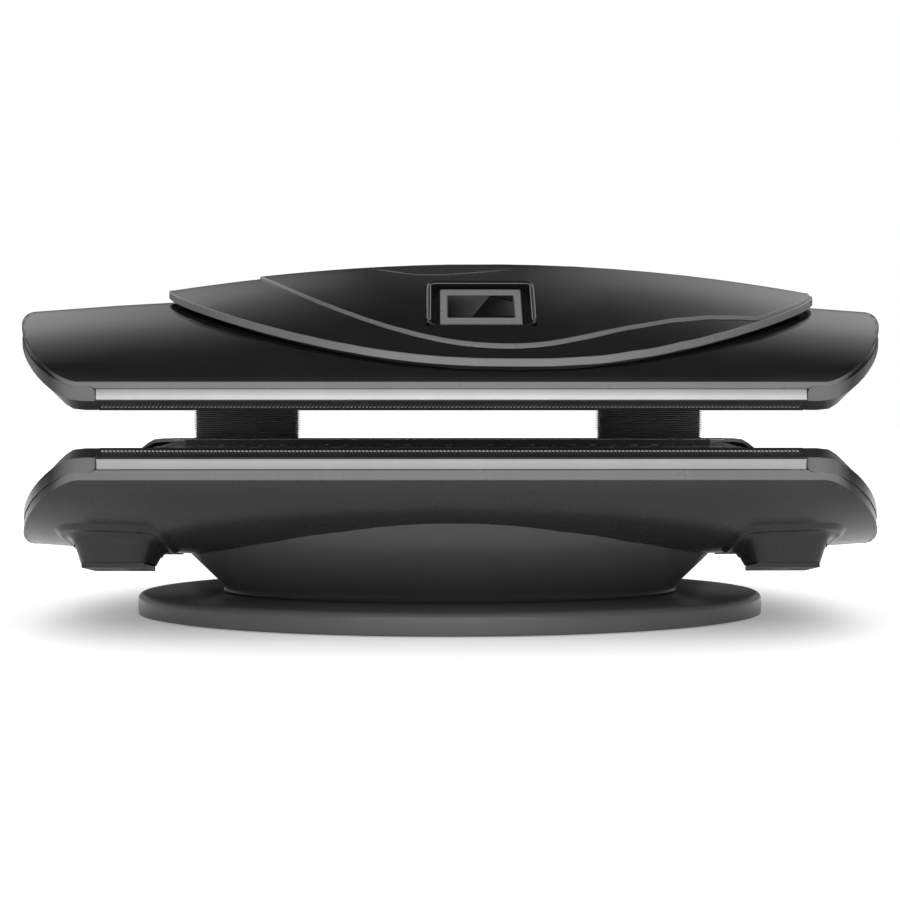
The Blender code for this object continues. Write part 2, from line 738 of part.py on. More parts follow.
def cut_belly(shell):
    """Openings in the bed's shell for the post and the four airways."""
    half = Vector((POST_LENGTH / 2 + SEAM, POST_DEPTH / 2 + SEAM, 0.0))
    hole = box_mesh("post_hole", Vector((0.0, 0.0, DISC_TOP)) - half,
                    Vector((0.0, 0.0, RIM_HEIGHT / 2)) + half)
    boolean(shell, add_cutter("post_hole", hole), "DIFFERENCE")
    for label, matrix in duct_places():
        hole = round_mesh("airway_" + label, AIRWAY_RADIUS, 0.0, SHELL_RISE, SMALL_ROUND)
        boolean(shell, add_cutter("airway_" + label, hole, matrix), "DIFFERENCE")


def duct_places():
    """Names and mouth frames of the four ducts."""
    places = []
    for row, toward in (("front", -1), ("rear", 1)):
        for side, mirror in SIDES:
            move = Matrix.Translation((mirror * DUCT_X, toward * DUCT_Y, DUCT_MOUTH_Z))
            places.append((row + "_" + side, move @ Matrix.Rotation(toward * DUCT_TILT, 4, "X")))
    return places


def rounded_rectangle(angle, half_x, half_y):
    """Point on a rectangle with soft corners."""
    power = 2.0 / DUCT_CORNER_POWER
    c, s = math.cos(angle), math.sin(angle)
    return (math.copysign(abs(c) ** power, c) * half_x, math.copysign(abs(s) ** power, s) * half_y)


def build_ducts(belly):
    """Tapered ducts under the belly, from their mouths up to the shell."""
    for label, matrix in duct_places():
        name = "exhaust_duct_" + label
        work = bmesh.new()
        bmesh.ops.create_circle(work, segments=DUCT_STEPS, radius=1.0)
        angles = [math.atan2(v.co.y, v.co.x) for v in work.verts]
        edges = list(work.edges)
        feet, heads = [], []
        for angle in angles:
            x, y = rounded_rectangle(angle, DUCT_HALF_LENGTH, DUCT_HALF_DEPTH)
            feet.append(matrix @ Vector((x, y, 0.0)))
            x, y = rounded_rectangle(angle, DUCT_HALF_LENGTH + DUCT_FLARE,
                                     DUCT_HALF_DEPTH + DUCT_FLARE)
            head = matrix @ Vector((x, y, 0.0))
            head.z = shell_z(BED, head.x, head.y) + TRIM_LAP
            heads.append(head)
        for vert, foot in zip(work.verts, feet):
            vert.co = foot
        for share, flare in (DUCT_WAIST, (1.0, 1.0)):
            made = bmesh.ops.extrude_edge_only(work, edges=edges)["geom"]
            ring = [v for v in made if isinstance(v, bmesh.types.BMVert)]
            edges = ring_edges(made, ring)
            for vert, foot, head in zip(ring, feet, heads):
                vert.co = foot.lerp(head, flare)
                vert.co.z = foot.z + (head.z - foot.z) * share
        bmesh.ops.recalc_face_normals(work, faces=work.faces)
        duct = add_part(name, mesh_from(name, work), SATIN_BLACK)
        solidify(duct, DUCT_WALL)
        boolean(duct, belly, "DIFFERENCE")


def guard_mesh():
    """Shallow mouth tray with a slotted floor and the fan's motor hub, in the duct's own frame."""
    half = Vector((DUCT_HALF_LENGTH - GUARD_INSET, DUCT_HALF_DEPTH - GUARD_INSET, 0.0))
    wall = Vector((GUARD_WALL, GUARD_WALL, 0.0))
    top = -CLEAR
    low = top - GUARD_DEPTH
    floor = low + GUARD_WALL
    up = Vector((0.0, 0.0, 1.0))
    guard = add_cutter("guard_tray", box_mesh("guard_tray", up * low - half, up * top + half))
    room = box_mesh("guard_room", up * floor - half + wall, up * -low + half - wall)
    tools = [guard, add_cutter("guard_room", room)]
    boolean(guard, tools[-1], "DIFFERENCE")
    pitch = 2 * half.y / (GUARD_SLOTS + 1)
    for index in range(GUARD_SLOTS):
        y = (index - (GUARD_SLOTS - 1) / 2) * pitch
        reach = half.x - pitch / 2
        inner = GUARD_HUB_RADIUS + DUCT_WALL
        spans = [(-reach, reach)] if abs(y) > inner else [(-reach, -inner), (inner, reach)]
        for start, end in spans:
            slot = box_mesh("guard_slot", (start, y - GUARD_SLOT_WIDTH / 2, low - CLEAR),
                            (end, y + GUARD_SLOT_WIDTH / 2, floor + CLEAR))
            tools.append(add_cutter("guard_slot", slot))
            boolean(guard, tools[-1], "DIFFERENCE")
    hub = round_mesh("guard_hub", GUARD_HUB_RADIUS, floor - GUARD_WALL / 2, GUARD_HUB_HEIGHT, SMALL_ROUND)
    tools.append(add_cutter("guard_hub", hub))
    boolean(guard, tools[-1], "UNION")
    return finish_tools(guard, tools)


def rotor_mesh():
    """Fan rotor: hub and pitched blades, in the duct's own frame."""
    low = GUARD_HUB_HEIGHT + CLEAR
    hub = round_mesh("rotor_hub", FAN_HUB_RADIUS, low, low + FAN_HUB_HEIGHT, SMALL_ROUND)
    rotor = add_cutter("rotor_hub", hub)
    tools = [rotor]
    start = FAN_HUB_RADIUS - FAN_BLADE_WALL
    for index in range(FAN_BLADES):
        blade = box_mesh("rotor_blade", (start, -FAN_CHORD / 2, -FAN_BLADE_WALL / 2),
                         (FAN_RADIUS, FAN_CHORD / 2, FAN_BLADE_WALL / 2))
        turn = Matrix.Rotation(index * 2 * math.pi / FAN_BLADES, 4, "Z")
        lift = Matrix.Translation((0.0, 0.0, low + FAN_HUB_HEIGHT / 2))
        pitch = Matrix.Rotation(FAN_PITCH, 4, "X")
        tools.append(add_cutter("rotor_blade", blade, lift @ turn @ pitch))
        boolean(rotor, tools[-1], "UNION")
    return finish_tools(rotor, tools)


def finish_tools(obj, tools):
    """Bake a body made by Booleans and remove what made it."""
    bpy.context.view_layer.update()
    mesh = baked_mesh(obj)
    for tool in tools:
        bpy.data.objects.remove(tool, do_unlink=True)
    return mesh


def build_fans():
    """A guard and a rotor in each duct's mouth."""
    guard = guard_mesh()
    rotor = rotor_mesh()
    for label, matrix in duct_places():
        add_part("fan_guard_" + label, guard.copy(), DARK_GREY, matrix)
        add_part("fan_rotor_" + label, rotor.copy(), SATIN_BLACK, matrix)


def column_box(name, x, inset, low, high):
    """Upright box on a column's axis, inset from the outer tube's outline."""
    half = Vector((COLUMN_LENGTH / 2 - inset, COLUMN_DEPTH / 2 - inset, 0.0))
    centre = Vector((x, COLUMN_Y, 0.0))
    return box_mesh(name, centre - half + Vector((0, 0, low)), centre + half + Vector((0, 0, high)))


def build_columns():
    """Three nested tubes, a lead screw and a motor for each lift column."""
    stage = COLUMN_WALL + COLUMN_RUN
    middle_low = COLUMN_BOTTOM + MIDDLE_FOOT
    middle_high = COLUMN_TOP + MIDDLE_TOP
    inner_low = middle_low + NUT_THICKNESS + INNER_FOOT
    inner_high = CARRIER_BOTTOM + CONSOLE_WALL + INNER_HEAD
    for side, mirror in SIDES:
        x = mirror * COLUMN_X
        axis = Matrix.Translation((x, COLUMN_Y, 0.0))
        tubes = (("outer", 0.0, COLUMN_BOTTOM, COLUMN_TOP, 0.0),
                 ("middle", stage, middle_low, middle_high, NUT_THICKNESS),
                 ("inner", 2 * stage, inner_low, inner_high, 0.0))
        for label, inset, low, high, floor in tubes:
            name = "column_" + label + "_" + side
            tube = add_part(name, column_box(name, x, inset, low, high), ALUMINIUM)
            under = low + floor if floor > 0.0 else low - COLUMN_WALL
            room = column_box(name + "_room", x, inset + COLUMN_WALL, under, high + COLUMN_WALL)
            boolean(tube, add_cutter(name + "_room", room), "DIFFERENCE")
            if floor > 0.0:
                nut = round_mesh(name + "_nut", SCREW_RADIUS + SCREW_RUN, low - floor, low + 2 * floor,
                                 SMALL_ROUND)
                boolean(tube, add_cutter(name + "_nut", nut, axis), "DIFFERENCE")
        screw = round_mesh("lift_screw_" + side, SCREW_RADIUS, COLUMN_BOTTOM, COLUMN_TOP - SCREW_TOP_DROP,
                           SMALL_ROUND)
        add_part("lift_screw_" + side, screw, STEEL, axis)
        motor_x = x - mirror * (COLUMN_LENGTH / 2 + MOTOR_RADIUS + CLEAR)
        low = COLUMN_BOTTOM + CONSOLE_WALL + MOTOR_LIFT
        motor = round_mesh("lift_motor_" + side, MOTOR_RADIUS, low, low + MOTOR_LENGTH, SMALL_ROUND)
        add_part("lift_motor_" + side, motor, STEEL, Matrix.Translation((motor_x, COLUMN_Y, 0.0)))


def build_bellows():
    """Pleated bellows with cut corners round each column."""
    pitch = (BELLOWS_TOP - BELLOWS_BOTTOM) / (2 * BELLOWS_PLEATS)
    for side, mirror in SIDES:
        name = "bellows_" + side
        work = bmesh.new()

        def outline(inset):
            a = BELLOWS_LENGTH / 2 - inset
            b = BELLOWS_DEPTH / 2 - inset
            c = BELLOWS_CHAMFER
            corners = ((a - c, -b), (a, c - b), (a, b - c), (a - c, b))
            corners += ((c - a, b), (-a, b - c), (-a, c - b), (c - a, -b))
            return [(mirror * COLUMN_X + px, COLUMN_Y + py) for px, py in corners]

        ring = [work.verts.new((px, py, BELLOWS_BOTTOM)) for px, py in outline(PLEAT_DEPTH)]
        edges = [work.edges.new((ring[i - 1], ring[i])) for i in range(len(ring))]
        for step in range(1, 2 * BELLOWS_PLEATS + 1):
            made = bmesh.ops.extrude_edge_only(work, edges=edges)["geom"]
            ring = [v for v in made if isinstance(v, bmesh.types.BMVert)]
            edges = ring_edges(made, ring)
            inset = PLEAT_DEPTH if step % 2 == 0 else 0.0
            for vert, (px, py) in zip(ring, outline(inset)):
                vert.co = (px, py, BELLOWS_BOTTOM + step * pitch)
        bmesh.ops.recalc_face_normals(work, faces=work.faces)
        solidify(add_part(name, mesh_from(name, work), RUBBER), BELLOWS_WALL)


def hollow_housing(name, outline, finish):
    """Extruded housing with a cavity that its column holes open."""
    housing = add_part(name, outward(prism_mesh(name, outline, CONSOLE_HALF_LENGTH)), finish)
    room = prism_mesh(name + "_room", inset_outline(outline, CONSOLE_WALL),
                      CONSOLE_HALF_LENGTH - CONSOLE_WALL)
    boolean(housing, add_cutter(name + "_room", outward(room)), "DIFFERENCE")
    return housing


def column_holes(housing, low, high, inset):
    """Cut a housing's walls for both columns."""
    for side, mirror in SIDES:
        name = housing.name + "_hole_" + side
        hole = column_box(name, mirror * COLUMN_X, inset - CLEAR, low, high)
        boolean(housing, add_cutter(name, hole), "DIFFERENCE")


def build_console():
    """Rear console round the columns, with the mains inlet and its switch."""
    foot = BEAM_TOP + CLEAR
    outline = [(CONSOLE_FRONT, CONSOLE_TOP), (CONSOLE_FRONT, CONSOLE_FRONT_KNEE),
               (COLUMN_Y - COLUMN_DEPTH / 2 - CONSOLE_WALL, foot), (CONSOLE_BACK - CONSOLE_FOOT_IN, foot),
               (CONSOLE_BACK, CONSOLE_KNEE), (CONSOLE_BACK, CONSOLE_TOP)]
    console = hollow_housing("rear_console", outline, SATIN_BLACK)
    column_holes(console, BEAM_BOTTOM, CONSOLE_TOP + RIM_GAP, 0.0)
    face = CONSOLE_BACK + CLEAR
    low = Vector((INLET_X - INLET_WIDTH / 2, face, INLET_Z - INLET_HEIGHT / 2))
    size = Vector((INLET_WIDTH, INLET_THICKNESS, INLET_HEIGHT))
    inlet = add_part("mains_inlet", box_mesh("mains_inlet", low, low + size), DARK_GREY)
    outside = face + INLET_THICKNESS
    socket_x = INLET_X - INLET_WIDTH / 4
    rocker_x = INLET_X + INLET_WIDTH / 4
    half = Vector((SOCKET_WIDTH / 2, SOCKET_DEPTH, SOCKET_HEIGHT / 2))
    socket = box_mesh("inlet_socket", Vector((socket_x, outside, INLET_Z)) - half,
                      Vector((socket_x, outside, INLET_Z)) + half)
    boolean(inlet, add_cutter("inlet_socket", socket), "DIFFERENCE")
    depth = ROCKER_THICKNESS - ROCKER_PROUD + 4 * ROCKER_CLEAR
    half = Vector((ROCKER_WIDTH / 2 + ROCKER_CLEAR, depth, ROCKER_HEIGHT / 2 + ROCKER_CLEAR))
    pocket = box_mesh("rocker_pocket", Vector((rocker_x, outside, INLET_Z)) - half,
                      Vector((rocker_x, outside, INLET_Z)) + half)
    boolean(inlet, add_cutter("rocker_pocket", pocket), "DIFFERENCE")
    half = Vector((ROCKER_WIDTH / 2, ROCKER_THICKNESS / 2, ROCKER_HEIGHT / 2))
    centre = Vector((rocker_x, outside + ROCKER_PROUD - ROCKER_THICKNESS / 2, INLET_Z))
    add_part("mains_switch", box_mesh("mains_switch", -half, half), SATIN_BLACK, Matrix.Translation(centre))
    floor = foot + CONSOLE_WALL + CLEAR
    supply = box_mesh("power_supply", (-SUPPLY_LENGTH / 2, COLUMN_Y - SUPPLY_DEPTH / 2, floor),
                      (SUPPLY_LENGTH / 2, COLUMN_Y + SUPPLY_DEPTH / 2, floor + SUPPLY_HEIGHT))
    add_part("power_supply", supply, ALUMINIUM)


def build_carrier():
    """Housing on the canopy's rear edge that the columns lift."""
    crest = shell_z(CANOPY, 0.0, HALF_DEPTH - CARRIER_LAP)
    outline = [(CONSOLE_FRONT, CARRIER_BOTTOM), (CONSOLE_BACK, CARRIER_BOTTOM),
               (CONSOLE_BACK, CARRIER_BOTTOM + CARRIER_HEIGHT), (CONSOLE_FRONT + CARRIER_LAP, crest),
               (CONSOLE_FRONT, crest)]
    carrier = hollow_housing("canopy_carrier", outline, SATIN_BLACK)
    stage = COLUMN_WALL + COLUMN_RUN
    column_holes(carrier, CARRIER_BOTTOM - RIM_GAP, CARRIER_BOTTOM + CONSOLE_WALL + INNER_HEAD, 2 * stage)


def hood_radius(x, y):
    """Superellipse distance from the hood's middle: 1 at its edge."""
    a = abs((x - HOOD_X) / (HOOD_RIGHT if x > HOOD_X else HOOD_LEFT)) ** HOOD_POWER
    b = abs(y / HOOD_HALF_DEPTH) ** HOOD_POWER
    return (a + b) ** (1.0 / HOOD_POWER)


def hood_z(x, y):
    """Outer surface of the hood."""
    dome = HOOD_DOME * (1.0 - min(hood_radius(x, y), 1.0) ** DOME_POWER)
    return shell_z(CANOPY, x, y) + HOOD_GAP + HOOD_LIP + dome


def cover_depth(x):
    """Half-depth of the raised cover's plan: round on the left, drawn out to a tail on the right."""
    if x < COVER_X:
        share = min((COVER_X - x) / COVER_LEFT, 1.0)
        return COVER_HALF_DEPTH * (1.0 - share ** COVER_POWER) ** (1.0 / COVER_POWER)
    share = min((x - COVER_X) / COVER_TAIL, 1.0)
    swell = (1.0 + math.cos(math.pi * share)) / 2
    return COVER_TAIL_DEPTH + (COVER_HALF_DEPTH - COVER_TAIL_DEPTH) * swell


def in_hood(x, y):
    """Whether a point is inside the hood's plan."""
    return hood_radius(x, y) < 1.0


def in_cover(x, y):
    """Whether a point is inside the cover's plan."""
    return abs(y) < cover_depth(x) and hood_radius(x, y) < 1.0 - COVER_MARGIN


def edge_share(centre_x, reach_x, reach_y, inside):
    """Share of the way out from a centre at which a plan ends."""
    low, high = 0.0, 1.0
    for _ in range(EDGE_SEARCH_STEPS):
        share = (low + high) / 2
        if inside(centre_x + reach_x * share, reach_y * share):
            low = share
        else:
            high = share
    return low


def plan_sheet(name, centre_x, inside, surface, foot):
    """Map a square grid onto a round plan and a surface, with a skirt down to a foot."""
    work = bmesh.new()
    bmesh.ops.create_grid(work, x_segments=HOOD_STEPS, y_segments=HOOD_STEPS, size=1.0)
    for vert in work.verts:
        u = math.sin(vert.co.x * math.pi / 2)
        v = math.sin(vert.co.y * math.pi / 2)
        span = max(abs(u), abs(v), WELD)
        share = edge_share(centre_x, u / span * HALF_LENGTH, v / span * HALF_DEPTH, inside)
        x, y = centre_x + u * HALF_LENGTH * share, v * HALF_DEPTH * share
        vert.co = (x, y, surface(x, y))
    rims = [e for e in work.edges if e.is_boundary]
    made = bmesh.ops.extrude_edge_only(work, edges=rims)["geom"]
    for vert in (v for v in made if isinstance(v, bmesh.types.BMVert)):
        vert.co.z = foot(vert.co.x, vert.co.y)
    return mesh_from(name, work)


def cover_foot(x, y):
    """Height of the cover's edge, clear of the hood under the inner side of its wall."""
    edge = Vector((x, y))
    inside = edge + (Vector((COVER_X, 0.0)) - edge).normalized() * COVER_EDGE_REACH
    return hood_z(inside.x, inside.y) + FACET + CLEAR


def display_frame():
    """Frame of the display on the hood's front slope, +Z out of the hood."""
    height = hood_z(DISPLAY_X, DISPLAY_Y) + COVER_STEP
    return Matrix.Translation((DISPLAY_X, DISPLAY_Y, height)) @ Matrix.Rotation(DISPLAY_TILT, 4, "X")


def slab(name, width, height, low, high):
    """Box in the display's own frame."""
    return box_mesh(name, (-width / 2, -height / 2, low), (width / 2, height / 2, high))


def build_hood():
    """Hood with its lip, standing on bosses, and the raised cover on top of it."""
    mesh = plan_sheet("hood", HOOD_X, in_hood, hood_z, lambda x, y: hood_z(x, y) - HOOD_LIP)
    hood = add_part("hood", mesh, GLOSS_BLACK)
    solidify(hood, HOOD_WALL)
    for side, mirror in SIDES:
        for row, toward in (("front", -1), ("rear", 1)):
            name = "hood_boss_" + row + "_" + side
            boss = post_between(name, HOOD_X + mirror * BOSS_SPACING_X / 2, toward * BOSS_SPACING_Y / 2,
                                BOSS_RADIUS, lambda x, y: shell_z(CANOPY, x, y) + CLEAR,
                                lambda x, y: hood_z(x, y) - HOOD_WALL / 2)
            boolean(hood, add_cutter(name, boss), "UNION")
    mesh = plan_sheet("hood_cover", COVER_X, in_cover, lambda x, y: hood_z(x, y) + COVER_STEP, cover_foot)
    cover = add_part("hood_cover", mesh, GLOSS_BLACK)
    solidify(cover, COVER_WALL)
    hole = slab("display_hole", TRAY_WIDTH + 2 * TRAY_FIT, TRAY_HEIGHT + 2 * TRAY_FIT, -2 * TRAY_DEPTH,
                TRAY_DEPTH)
    cutter = add_cutter("display_hole", hole, display_frame())
    boolean(hood, cutter, "DIFFERENCE")
    boolean(cover, cutter, "DIFFERENCE")


def build_display():
    """Display tray in the hood, with its frame and glass."""
    matrix = display_frame()
    top = -TRAY_SINK
    low = top - TRAY_DEPTH
    floor = low + TRAY_FLOOR
    body = slab("display_tray", TRAY_WIDTH, TRAY_HEIGHT, low, top)
    tray = add_part("display_tray", body, SATIN_BLACK, matrix)
    room = slab("display_tray_room", TRAY_WIDTH - 2 * TRAY_WALL, TRAY_HEIGHT - 2 * TRAY_WALL, floor,
                top + TRAY_FLOOR)
    boolean(tray, add_cutter("display_tray_room", room, matrix), "DIFFERENCE")
    face = floor + CLEAR + FRAME_THICKNESS
    body = slab("display_frame", FRAME_WIDTH, FRAME_HEIGHT, floor + CLEAR, face)
    frame = add_part("display_frame", body, DARK_GREY, matrix)
    seat = face - GLASS_REST
    recess = slab("display_glass_seat", GLASS_WIDTH + 2 * CLEAR, GLASS_HEIGHT + 2 * CLEAR, seat,
                  face + GLASS_REST)
    boolean(frame, add_cutter("display_glass_seat", recess, matrix), "DIFFERENCE")
    glass = slab("display_glass", GLASS_WIDTH, GLASS_HEIGHT, seat + CLEAR, seat + CLEAR + GLASS_THICKNESS)
    add_part("display_glass", glass, GLASS, matrix)


clear_scene()
PARTS = new_collection("red_light_therapy_bed")
CUTTERS = new_collection("cutters")
build_disc()
trim_space = belly_space()
build_pedestal(trim_space)
build_chassis()
cut_belly(build_shell(BED))
build_shell(CANOPY)
for built_half in (BED, CANOPY):
    build_rails(built_half)
    build_end_caps(built_half)
    build_panels(built_half)
    build_formers(built_half)
build_ducts(trim_space)
build_fans()
build_columns()
build_bellows()
build_console()
build_carrier()
build_hood()
build_display()
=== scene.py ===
"""Looks for the red light therapy bed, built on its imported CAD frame.

Metres, in the CAD's own frame: +X along the bed, -Y towards the user, +Z up.
"""
import math

import bmesh
import bpy
from mathutils import Matrix, Vector
from mathutils.bvhtree import BVHTree


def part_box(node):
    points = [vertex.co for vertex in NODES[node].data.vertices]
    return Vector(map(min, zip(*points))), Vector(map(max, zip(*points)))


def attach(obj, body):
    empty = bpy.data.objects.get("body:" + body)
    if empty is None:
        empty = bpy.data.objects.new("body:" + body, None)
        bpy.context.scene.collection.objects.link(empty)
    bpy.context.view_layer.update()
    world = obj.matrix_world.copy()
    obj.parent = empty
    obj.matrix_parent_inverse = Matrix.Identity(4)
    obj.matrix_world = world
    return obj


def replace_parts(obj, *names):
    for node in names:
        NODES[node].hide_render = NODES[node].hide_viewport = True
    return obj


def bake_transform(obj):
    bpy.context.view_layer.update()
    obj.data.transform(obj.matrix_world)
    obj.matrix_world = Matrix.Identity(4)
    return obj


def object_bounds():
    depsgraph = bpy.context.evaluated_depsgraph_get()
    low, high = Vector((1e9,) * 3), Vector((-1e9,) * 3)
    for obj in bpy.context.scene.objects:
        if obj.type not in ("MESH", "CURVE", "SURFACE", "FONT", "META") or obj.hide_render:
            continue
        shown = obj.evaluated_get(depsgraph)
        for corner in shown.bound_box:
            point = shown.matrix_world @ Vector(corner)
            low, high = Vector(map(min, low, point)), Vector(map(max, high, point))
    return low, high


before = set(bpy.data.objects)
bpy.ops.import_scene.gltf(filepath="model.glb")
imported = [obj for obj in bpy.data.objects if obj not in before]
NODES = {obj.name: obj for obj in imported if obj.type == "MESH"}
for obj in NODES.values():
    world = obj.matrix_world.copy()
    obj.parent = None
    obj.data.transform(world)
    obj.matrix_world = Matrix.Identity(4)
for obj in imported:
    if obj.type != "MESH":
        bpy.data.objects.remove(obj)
CAD_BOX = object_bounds()
SIDES = (("left", -1), ("right", 1))
ROWS = (("front", -1), ("rear", 1))
HALVES = (("bed", -1), ("canopy", 1))
HALF_LENGTH = CAD_BOX[1].x
HALF_DEPTH = abs(CAD_BOX[0].y)
UP = Vector((0.0, 0.0, 1.0))
REARWARD = Vector((0.0, 1.0, 0.0))
ABOVE = CAD_BOX[1].z + 0.1
BELOW = -1.0

# Camera, fitted to the photograph
CAMERA_PLACE = Vector((-0.036, -4.383, 0.569))
CAMERA_YAW = math.radians(0.47)
CAMERA_PITCH = math.radians(1.67)
CAMERA_LENS = 64.4
SENSOR = 36.0

# Rim, as in the CAD source
RIDGE_INSET = 0.0385
STRIP_RISE = 0.0225
STRIP_SLOPE = math.atan2(STRIP_RISE, RIDGE_INSET)
RIB_PITCH = 0.00924
RIB_START = 0.019
RIB_END = 0.033
RIB_SLANT = 0.45
RIB_WIDTH = 0.0034
TIP_START = 0.014
TIP_WIDTH = 0.0052
RIB_HEIGHT = 0.0008
INNER_TRIM_TOP = (0.045, 0.005)
INNER_TRIM_FOOT = (0.0485, 0.031)
INNER_TRIM_WALL = 0.0012
INNER_TRIM_REACH = 0.8
SLOT_PITCH = 0.063
SLOT_LENGTH = 0.023
SLOT_SHARES = (0.52, 0.72)
PLAN_STRAIGHT = 0.887
PLAN_BOW = 0.213
PLAN_POWER = 2.36
SHELL_RISE = 0.2409
END_DROP = 0.0455
BARREL_POWER = 0.66
RAIL_FOOT = 0.0508
LIPS = {"bed": 0.025, "canopy": 0.017}
BAND_PROUD = 0.0016
BAND_DEEP = 0.003
BAND_ROUND = 0.0014
BAND_END_SHARE = 0.85
BAND_END_POWER = 6
PLAN_STEPS = 80
CAP_CORNER = 0.016
CAP_CORNER_STEPS = 8
CAP_FOOT = 0.0445
FACE_TOP = 0.0245
FACE_FOOT = 0.0565
FACE_PROUD = 0.0026
FACE_DEEP = 0.002
FACE_EDGE = 0.0004
FACE_END = 0.25
SEAM_RADIUS = 0.0009
SEAM_PROUD = 0.0012
RAIL_BEAD_DROP = 0.0045
RAIL_BEAD_RADIUS = 0.0018
WIRE_ROUNDNESS = 2
LINER_INSET = 0.005
LINER_WALL = 0.001
LINER_TOP = 0.03
CAP_SCREWS = (0.858, 0.882)
CAP_SCREW_INSET = 0.019
SCREW_RADIUS = 0.0026
SCREW_HEIGHT = 0.0009
SCREW_SIDES = 14
SCREW_TAPER = 0.75

# Bellows
PLEATS = 17
PLEAT_ROWS = 6
PLEAT_DEPTH = 0.008
FOLD_POWER = 0.8
BELLOWS_CHAMFER = 0.022
BELLOWS_CORNER_STEPS = 2
BELLOWS_WALL = 0.0012

# Hood
COVER_X = 0.14
COVER_LEFT = 0.648
COVER_HALF_DEPTH = 0.552
COVER_POWER = 2.2
COVER_TAIL = 0.62
COVER_TAIL_DEPTH = 0.447
COVER_MARGIN = 0.011
COVER_STEP = 0.006
EDGE_SEARCH_STEPS = 30
BEAD_OUT = 0.003
BEAD_IN = 0.0015
BEAD_SUNK = 0.002
BEAD_FOOT = 0.001
BEAD_SHOULDER = 0.4
BEAD_SLOPE = 0.0004
BEAD_RISE = 0.0006
TRIM_STEPS = 320
TURN_STEP = 1e-3
HOOD_X = 0.1537
HOOD_LEFT = 0.8987
HOOD_RIGHT = 0.8033
HOOD_HALF_DEPTH = 0.574
HOOD_POWER = 2.64
HOOD_LIP = 0.019
LIP_PROUD = 0.0016
LIP_DEEP = 0.004
LIP_RISE = 0.0004
LIP_CHAMFER = 0.0016
LIP_UNDERCUT = 0.0012
CREASE_RADIUS = 0.0016
CREASE_TIP = 0.1
CREASE_TAPER = 6
CREASE_SIDES = 8
CREASE_STEPS = 8
CREASE_POINTS = ((-0.217, -0.153), (-0.131, -0.241), (-0.053, -0.271), (0.049, -0.256),
                 (0.154, -0.211))

# Display
DISPLAY_TURN = Matrix.Rotation(math.radians(38.0), 4, "X")
WELL_CORNER = 0.022
WELL_RIM = 0.006
WELL_FLOOR = 0.006
WELL_PROUD = 0.002
WELL_CREST = 0.0035
WELL_DRAFT = 0.003
FRAME_CORNER = 0.004
FRAME_BORDER = (0.019, 0.029)
FRAME_CHAMFER = 0.002
FRAME_SLOPE = 0.003
GLASS_CORNER = 0.003
GLASS_SUNK = 0.002
GLASS_CHAMFER = 0.0008
GLASS_EDGE = 0.0006
FINE_CORNER_STEPS = 3
BRACKET_SIDE = 0.001
BRACKET_TOP = 0.013
BRACKET_GAP = 0.008
BRACKET_FOOT = 0.03
BRACKET_LIFT = 0.003
BRACKET_RADIUS = 0.0014

# Ducts
DUCT_TILT = math.radians(9.0)
GUARD_DEPTH = 0.012
DUCT_HALF_LENGTH = 0.0865
DUCT_HALF_DEPTH = 0.0915
DUCT_FLARE = 0.036
DUCT_POWER = 5.0
COLLAR_STEPS = 64
COLLAR_ROWS = 4
COLLAR_WALL = ((0.014, 0.55), (0.0165, 0.66), (0.0205, 0.77), (0.029, 0.87))
COLLAR_BROW = ((0.042, 0.0085), (0.05, 0.004), (0.056, 0.0004), (0.06, -0.001))
COLLAR_PROUD = 0.0012

# Rear console
LOUVRE_X = 0.54
LOUVRE_LENGTH = 0.22
LOUVRE_COUNT = 8
LOUVRE_PITCH = 0.013
LOUVRE_HEIGHT = 0.008
LOUVRE_PROUD = 0.003
PANEL_MIDDLE_X = 0.08
PANEL_SIZE = (0.42, 0.15)
PANEL_CORNER = 0.012
PANEL_SCREW_INSET = 0.016
REAR_SCREW_RADIUS = 0.0052
CARRIER_SCREWS = 4
CARRIER_SCREW_PITCH = 0.38
CARRIER_SCREW_SHARE = 0.25

# Shading of the CAD nodes
CREASE_ANGLE = math.radians(35.0)
CAP_SLOPE = 0.6
WELD = 1e-5
EDGE_SEGMENTS = 3
RAIL_EDGE = 0.0006
SOFT_EDGES = {"rear_console": 0.0025, "canopy_carrier": 0.004, "chassis": 0.003,
              "mains_inlet": 0.0015, "mains_switch": 0.0012, "power_supply": 0.002}
EVEN_NODES = ("hood", "hood_cover")
EVEN_STEPS = 8

# Surfaces
ROUND = (1.0, 1.0, 1.0)
BRUSHED = (0.02, 1.0, 1.0)
NOISE_SPAN = (0.3, 0.7)
CLOUD_NOISE = (9.0, 3.0)
SHEEN_NOISE = (24.0, 4.0)
GRAIN_DETAIL = 2.0
GRAIN_STRENGTH = 0.1
FINE_GRAIN = 0.00002
DARK_PLASTIC = (0.012, 0.012, 0.0125)
TRIM_GREY = (0.125, 0.125, 0.128)
# Painted shade: the grey bands and end caps darken to black over this span of |x| round the bed's
# ends
END_SHADE_SPAN = (0.912, 0.95)
# Painted light on the bellows: a painted highlight on the pleats' crests and painted shade in their
# grooves
CREST_SPAN = (-0.2, -1.0)
CREST_HIGHLIGHT_RUBBER = (0.52, 0.52, 0.525)
GROOVE_SHADE_RUBBER = (0.14, 0.14, 0.141)
RUBBER_GRAIN = 0.00003
LAMP_PITCH = 0.03
LAMP_EDGE = (0.25, 0.19)
LAMP_BUMP = (0.6, 0.002)
BOARD_RED = (0.1, 0.012, 0.012)
LAMP_PALE = (0.8, 0.62, 0.55)
ACRYLIC_TINTS = ((0.7, 0.73, 0.75), (0.8, 0.82, 0.84))
ACRYLIC_CLEAR = 0.85
ACRYLIC_IOR = 1.49
# Painted reflection on the display glass: a slanting glare
GLARE_LEAN = 0.8
GLARE_EDGE = 0.0006
GLASS_DARK = (0.004, 0.004, 0.004)
GLASS_LIT = (0.04, 0.04, 0.04)
GLASS_SPECULAR = 0.12

